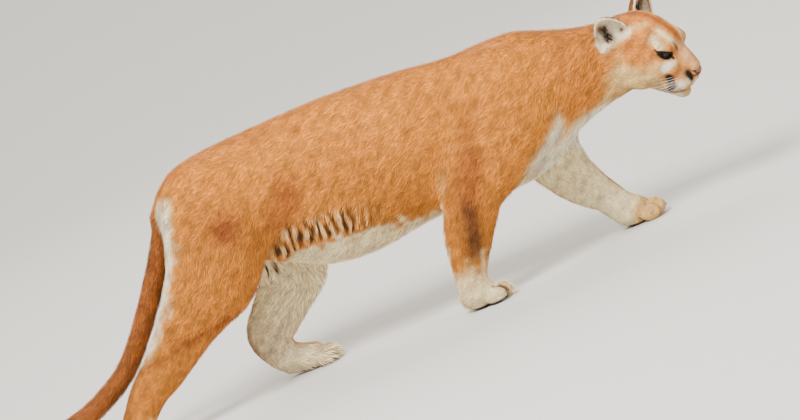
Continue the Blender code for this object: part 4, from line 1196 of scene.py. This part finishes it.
def shape_tufts(root, normal, way, draw):
    """Four points for each tuft: its root, two sides and tip. Returns them with normals to shade them by."""
    count = len(root)
    swing = 0.20 * ripple(root, 0.05, 31) + 0.16 * ripple(root, 0.014, 33) + draw.normal(0, 0.12, count)
    swing = swing * (1 - 0.6 * on_fold(root))
    way = unit(way * np.cos(swing)[:, None] + np.cross(normal, way) * np.sin(swing)[:, None])
    side = np.cross(normal, way)
    length = coat_length(root) * draw.uniform(0.75, 1.2, count)
    rise = np.clip(coat_depth(root) / length * draw.uniform(0.55, 1.05, count), 0.05, 0.6)
    rise = toward(rise, FOLD_RISE, on_fold(root))
    flat = np.sqrt(1 - rise ** 2)
    width = (TUFT_WIDTH * length * draw.uniform(0.7, 1.3, count))[:, None]
    sunk = root - normal * ROOT_DEPTH
    middle = root + way * (0.42 * length * flat)[:, None] + normal * (0.62 * length * rise)[:, None]
    tip = root + way * (length * flat)[:, None] + normal * (0.95 * length * rise)[:, None]
    for spots in (middle, tip):
        spots[:, 2] = np.maximum(spots[:, 2], FLOOR_GAP)
    points = np.stack([sunk, middle - side * width / 2, middle + side * width / 2, tip], 1)
    lean = draw.normal(0, 0.16, count)[:, None] * side
    shade = np.stack([normal - 0.3 * way, normal - 0.45 * side + lean, normal + 0.45 * side + lean,
                      normal + 0.35 * way + lean], 1)
    return points, unit(shade)


def tuft_colours(root, normal, draw):
    """The markings at each root, each tuft a little lighter or darker, darkened at its root by painted shade
    and paler towards its tip.
    """
    base = markings(root, normal)
    light = 1 + 0.16 * ripple(root, 0.012, 35) + 0.17 * ripple(root, 0.030, 37)
    light = light + draw.normal(0, 0.17, len(root))
    base = base * np.clip(light, 0.5, 1.5)[:, None]
    return np.clip(base[:, None] * np.array(TUFT_SHADES)[None, :, None], 0, 1)


def tuft_mesh(name, points, shade, colours, places):
    """One piece of the coat, two triangles a tuft, each with its patch round its place on the OFBake map."""
    count = len(points)
    mesh = bpy.data.meshes.new(name)
    mesh.vertices.add(4 * count)
    mesh.vertices.foreach_set("co", points.astype(np.float32).ravel())
    corners = (4 * np.arange(count)[:, None] + np.array([0, 1, 2, 2, 1, 3])).astype(np.int32).ravel()
    mesh.loops.add(len(corners))
    mesh.loops.foreach_set("vertex_index", corners)
    mesh.polygons.add(2 * count)
    mesh.polygons.foreach_set("loop_start", np.arange(0, 6 * count, 3, dtype=np.int32))
    mesh.update(calc_edges=True)
    mesh.shade_smooth()
    mesh.normals_split_custom_set_from_vertices(shade.reshape(-1, 3).astype(np.float32))
    colour_mesh(mesh, colours.reshape(-1, 3))
    patch = np.array([[-1, 0], [0, -1], [0, 1], [1, 0]]) * PATCH
    spots = (places[:, None] + patch[None]).reshape(-1, 2)
    layer = mesh.uv_layers.new(name="OFBake")
    layer.data.foreach_set("uv", spots[corners].astype(np.float32).ravel())
    return add_object(name, mesh)


def make_coat(skin, material):
    draw = np.random.default_rng(1)
    root, normal, way = scatter(skin, draw)
    points, shade = shape_tufts(root, normal, way, draw)
    colours = tuft_colours(root, normal, draw)
    regions = region_of(root)
    pieces = []
    for number, region in enumerate(REGIONS):
        mine = np.flatnonzero(regions == number)
        places = chart(root[mine], region)
        pieces.append(tuft_mesh("coat_" + region, points[mine], shade[mine], colours[mine], places))
        pieces[-1].data.materials.append(material)
    return pieces


def tube(points, radii, sides):
    """A tapering tube along points, closed at both ends: its points and its faces."""
    points, radii = np.array(points, float), np.array(radii, float)
    ways = unit(np.gradient(points, axis=0))
    across = unit(np.cross(ways, [0.31, 0.22, 0.92]))
    third = np.cross(ways, across)
    angles = 2 * math.pi * np.arange(sides) / sides
    ring = np.cos(angles)[None, :, None] * across[:, None] + np.sin(angles)[None, :, None] * third[:, None]
    body = (points[:, None] + ring * radii[:, None, None]).reshape(-1, 3)
    faces = []
    for row in range(len(points) - 1):
        for k in range(sides):
            a, b = row * sides + k, row * sides + (k + 1) % sides
            faces += [[a, b, b + sides], [a, b + sides, a + sides]]
    for start, flip in ((0, 1), ((len(points) - 1) * sides, -1)):
        for k in range(1, sides - 1):
            faces.append([start, start + k + 1, start + k][::flip])
    return body, faces


def joined(name, shapes):
    """One mesh object from several sets of points and faces."""
    points, faces = [], []
    for body, corners in shapes:
        start = sum(len(other) for other in points)
        faces += [[start + c for c in corner] for corner in corners]
        points.append(body)
    return mesh_object(name, np.vstack(points), np.array(faces))


WHISKER_POINTS, WHISKER_SIDES = 9, 4
LIP_RADII, BROW_RADII = (0.00032, 0.00007), (0.00026, 0.00006)


def whisker(root, way, droop, length, radii, side):
    """One whisker of the head, which starts straight along its way and droops towards its tip."""
    t = np.linspace(0, 1, WHISKER_POINTS)[:, None]
    way = np.array(way) / np.linalg.norm(way)
    line = np.array(root) + length * (t * way + t ** 2 * np.array(droop))
    return tube([head_point(q, side) for q in line], np.linspace(*radii, WHISKER_POINTS), WHISKER_SIDES)


def make_whiskers():
    """White whiskers in rows on the pads of the upper lip, and a few over each eye."""
    draw = np.random.default_rng(5)
    shapes = []
    for side in (-1, 1):
        for row in range(4):
            for place in range(4):
                root = (0.105 - 0.009 * place, 0.0300 + 0.0022 * place, -0.036 - 0.0052 * row)
                ahead = 0.10 - 0.16 * place + draw.normal(0, 0.06)
                way = (ahead, 0.85, 0.10 - 0.14 * row + draw.normal(0, 0.05))
                length = draw.uniform(0.042, 0.060)
                shapes.append(whisker(root, way, (-0.55, -0.15, -0.30), length, LIP_RADII, side))
        for place in range(3):
            root = (0.050 - 0.005 * place, 0.036 + 0.003 * place, 0.034)
            length = draw.uniform(0.026, 0.036)
            shapes.append(whisker(root, (0.45, 0.45, 0.55), (-0.45, 0.05, 0.05), length, BROW_RADII, side))
    return joined("whiskers", shapes)


# Where each claw leaves its toe: forwards and sideways of the paw's middle
CLAW_ROOTS = ((0.0405, -0.0345), (0.0555, -0.0125), (0.0555, 0.0125), (0.0405, 0.0345))
CLAW_SIDES = 8


def make_claws():
    """The ends of the claws, mostly drawn in between the toes."""
    shapes = []
    for at, heading, size in PAWS.values():
        frame = turn("z", heading)
        for x, y in CLAW_ROOTS:
            t = np.linspace(0, 1, 7)
            line = np.stack([x + 0.013 * t, y + 0 * t, 0.0245 - 0.002 * t - 0.009 * t ** 2], 1) * size
            line = line @ frame.T + [at[0], at[1], 0]
            shapes.append(tube(line, (0.0026 * (1 - t) ** 0.7 + 0.0003) * size, CLAW_SIDES))
    return joined("claws", shapes)


# Angles from the pole of an eyeball: its open ends, the edges of iris and pupil, half the iris's dark edge.
# Then how far an eye looks ahead of its lids' middle and how far down, in degrees.
POLE, IRIS_REACH, PUPIL_REACH, EDGE_HALF = 0.02, 0.60, 0.36, 0.06
LOOK_AHEAD, LOOK_DOWN = 8, 4


def eyeball(side):
    """An eyeball with a swelling cornea, its pole along the gaze, coloured by rings."""
    rings, around = 40, 64
    tilt = np.linspace(POLE, math.pi - POLE, rings)
    turnings = 2 * math.pi * np.arange(around) / around
    rise = EYE_RADIUS - BALL_LESS + CORNEA * np.exp(-(tilt / 0.45) ** 4)
    out, flat = np.cos(tilt) * rise, np.sin(tilt) * rise
    body = np.stack([np.repeat(out, around), np.outer(flat, np.cos(turnings)).ravel(),
                     np.outer(flat, np.sin(turnings)).ravel()], 1)
    faces = []
    for row in range(rings - 1):
        for k in range(around):
            a, b = row * around + k, row * around + (k + 1) % around
            faces.append([a, a + around, b + around, b])
    angle = np.repeat(tilt, around)
    round_it = np.tile(turnings, rings)
    spokes = 0.5 + 0.5 * np.sin(round_it * 23 + 3 * np.sin(round_it * 5))
    iris = paint(IRIS) * (0.75 + 0.5 * spokes)[:, None]
    colours = np.where((angle < IRIS_REACH)[:, None], iris, paint(EYE_BROWN))
    colours = np.where((np.abs(angle - IRIS_REACH) < EDGE_HALF)[:, None], paint(IRIS_EDGE), colours)
    colours = np.where((angle < PUPIL_REACH)[:, None], paint(PUPIL), colours)
    frame = head_frame() @ np.diag([1, side, 1]) @ turn("z", EYE_GAZE - LOOK_AHEAD) @ turn("y", LOOK_DOWN)
    body = body @ frame.T + head_point(EYE_AT, side)
    name = "eyeball_right" if side < 0 else "eyeball_left"
    faces = np.array(faces) if side > 0 else np.array(faces)[:, ::-1]
    ball = mesh_object(name, body, faces)
    colour_mesh(ball.data, colours)
    return ball


def camera():
    """The photograph's view: the hillside is the floor, so the camera is rolled by the slope."""
    rise, roll = math.radians(CAMERA_RISE), math.radians(SLOPE)
    ahead = Vector((0, math.cos(rise), -math.sin(rise)))
    above = Vector((0, math.sin(rise), math.cos(rise)))
    along = Vector((1, 0, 0))
    right = along * math.cos(roll) - above * math.sin(roll)
    up = along * math.sin(roll) + above * math.cos(roll)
    lens = bpy.data.cameras.new("camera")
    lens.lens = CAMERA_LENS
    lens.clip_end = 100
    view = add_object("camera", lens)
    turned = Matrix((right, up, -ahead)).transposed().to_4x4()
    view.matrix_world = Matrix.Translation(Vector(AIM) + Vector(SHIFT) - ahead * CAMERA_AWAY) @ turned
    bpy.context.scene.camera = view


# Lamps: name, place, width and power in watts. Then what they point at, and the light of the air around.
LAMPS = [
    ("key", (-1.5, -3.6, 4.8), 2.4, 740),
    ("fill", (4.0, -2.5, 2.0), 3.0, 110),
    ("back", (0.0, 3.0, 3.5), 3.0, 180),
]
LAMP_AIM, AIR_COLOUR, AIR_LIGHT = (0, 0, 0.3), (1.0, 0.97, 0.93, 1), 1.10

# Floor: its front edge, where its curve up into the wall starts, half its width, the wall's height, the
# curve's radius, and its colour
FLOOR_COLOUR = (200, 197, 190)
FLOOR_FRONT, FLOOR_BACK, FLOOR_SIDE, WALL_HEIGHT, WALL_CURVE = -12, 4.0, 16, 9, 2.5


def material_from(name, roughness, specular=0.5, colour=None):
    """A material with its shader and its nodes, of one colour until another is linked."""
    material = bpy.data.materials.new(name)
    material.use_nodes = True
    nodes, links = material.node_tree.nodes, material.node_tree.links
    shader = nodes["Principled BSDF"]
    shader.inputs["Roughness"].default_value = roughness
    shader.inputs["Specular IOR Level"].default_value = specular
    if colour:
        shader.inputs["Base Color"].default_value = (*paint(colour), 1)
    return material, shader, nodes, links


def add_node(nodes, kind, **settings):
    """A new node, with the inputs and properties that the settings name."""
    node = nodes.new(kind)
    for key, value in settings.items():
        if key in node.inputs:
            node.inputs[key].default_value = value
        else:
            setattr(node, key, value)
    return node


def speckle(nodes, links, scale, low, high):
    """A factor that wanders between low and high over the surface."""
    place = add_node(nodes, "ShaderNodeTexCoord")
    noise = add_node(nodes, "ShaderNodeTexNoise", Scale=scale, Detail=4.0, Roughness=0.6)
    spread = add_node(nodes, "ShaderNodeMapRange")
    spread.inputs["To Min"].default_value, spread.inputs["To Max"].default_value = low, high
    links.new(place.outputs["Object"], noise.inputs["Vector"])
    links.new(noise.outputs["Fac"], spread.inputs["Value"])
    return spread.outputs["Result"], noise.outputs["Fac"]


def mesh_colours(nodes, links, shader, scale, low, high):
    """The mesh's own colours, made lighter and darker by fine speckles."""
    own = add_node(nodes, "ShaderNodeAttribute", attribute_name="coat_colour")
    factor, noise = speckle(nodes, links, scale, low, high)
    shaded = add_node(nodes, "ShaderNodeVectorMath", operation="SCALE")
    links.new(own.outputs["Color"], shaded.inputs[0])
    links.new(factor, shaded.inputs["Scale"])
    links.new(shaded.outputs["Vector"], shader.inputs["Base Color"])
    return noise


def add_bump(nodes, links, shader, height, distance, strength):
    bump = add_node(nodes, "ShaderNodeBump", Strength=strength, Distance=distance)
    links.new(height, bump.inputs["Height"])
    links.new(bump.outputs["Normal"], shader.inputs["Normal"])


def coat_material():
    material, shader, nodes, links = material_from("coat", 0.72, 0.25)
    mesh_colours(nodes, links, shader, 260, 0.88, 1.12)
    return material


def skin_material():
    material, shader, nodes, links = material_from("skin", 0.8, 0.2)
    # The skin takes 0.52 to 0.82 of its markings' colours: painted shade under the coat
    noise = mesh_colours(nodes, links, shader, 320, 0.52, 0.82)
    add_bump(nodes, links, shader, noise, 0.0006, 0.6)
    return material


def eye_material():
    material, shader, nodes, links = material_from("eye", 0.08, 0.15)
    mesh_colours(nodes, links, shader, 900, 0.9, 1.1)
    shader.inputs["Coat Weight"].default_value = 0.12
    shader.inputs["Coat Roughness"].default_value = 0.03
    return material


def claw_material():
    material, shader, nodes, links = material_from("claw", 0.35, 0.5)
    factor, noise = speckle(nodes, links, 200, 0.0, 1.0)
    horn = add_node(nodes, "ShaderNodeMix", data_type="RGBA")
    horn.inputs["A"].default_value = (*paint(CLAW_DARK), 1)
    horn.inputs["B"].default_value = (*paint(CLAW_PALE), 1)
    links.new(factor, horn.inputs["Factor"])
    links.new(horn.outputs["Result"], shader.inputs["Base Color"])
    add_bump(nodes, links, shader, noise, 0.0002, 0.4)
    return material


def studio():
    """A pale floor that curves up into a wall, with soft lamps."""
    turns = np.linspace(0, math.pi / 2, 12)
    line = [(FLOOR_BACK + WALL_CURVE * math.sin(t), WALL_CURVE * (1 - math.cos(t))) for t in turns]
    line = [(FLOOR_FRONT, 0.0), *line, (FLOOR_BACK + WALL_CURVE, WALL_HEIGHT)]
    points = np.array([[x, y, z] for y, z in line for x in (-FLOOR_SIDE, FLOOR_SIDE)])
    faces = np.array([[2 * k, 2 * k + 1, 2 * k + 3, 2 * k + 2] for k in range(len(line) - 1)])
    floor = mesh_object("floor", points, faces)
    floor.data.materials.append(material_from("floor", 0.9, 0.2, FLOOR_COLOUR)[0])
    world = bpy.data.worlds.new("studio")
    world.use_nodes = True
    air = world.node_tree.nodes["Background"]
    air.inputs["Color"].default_value, air.inputs["Strength"].default_value = AIR_COLOUR, AIR_LIGHT
    bpy.context.scene.world = world
    for name, place, size, power in LAMPS:
        lamp = bpy.data.lights.new(name, "AREA")
        lamp.energy, lamp.size = power, size
        thing = add_object(name, lamp)
        thing.location = place
        thing.rotation_euler = (Vector(LAMP_AIM) - Vector(place)).to_track_quat("-Z", "Y").to_euler()


def shift_from_frame():
    """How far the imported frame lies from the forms' own frame, read from the right eye."""
    low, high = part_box("eye_right")
    middle = (Vector(low) + Vector(high)) / 2
    return middle - Vector(head_point(EYE_AT, -1).tolist())


def place(piece, slot, material=None):
    """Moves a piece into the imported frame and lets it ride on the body."""
    piece.data.transform(Matrix.Translation(SHIFT))
    if material:
        piece.data.materials.append(material)
    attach(piece, "root")


SHIFT = shift_from_frame()
flesh = cougar()
camera()
studio()
skin = make_skin(flesh)
colour_mesh(skin.data, markings(*points_and_normals(skin.data)))
for piece in make_coat(skin, coat_material()):
    place(piece, "tail_coat" if piece.name == "coat_tail" else "tawny_coat")
place(skin, "tawny_coat", skin_material())
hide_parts(*[name for name in frame["nodes"] if not name.startswith("eye")])
eye_look = eye_material()
for side, node in ((-1, "eye_right"), (1, "eye_left")):
    ball = eyeball(side)
    place(ball, "eye", eye_look)
    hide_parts(node)
place(make_whiskers(), "pale_coat", material_from("whisker", 0.4, colour=WHISKER_WHITE)[0])
place(make_claws(), "dark_coat", claw_material())
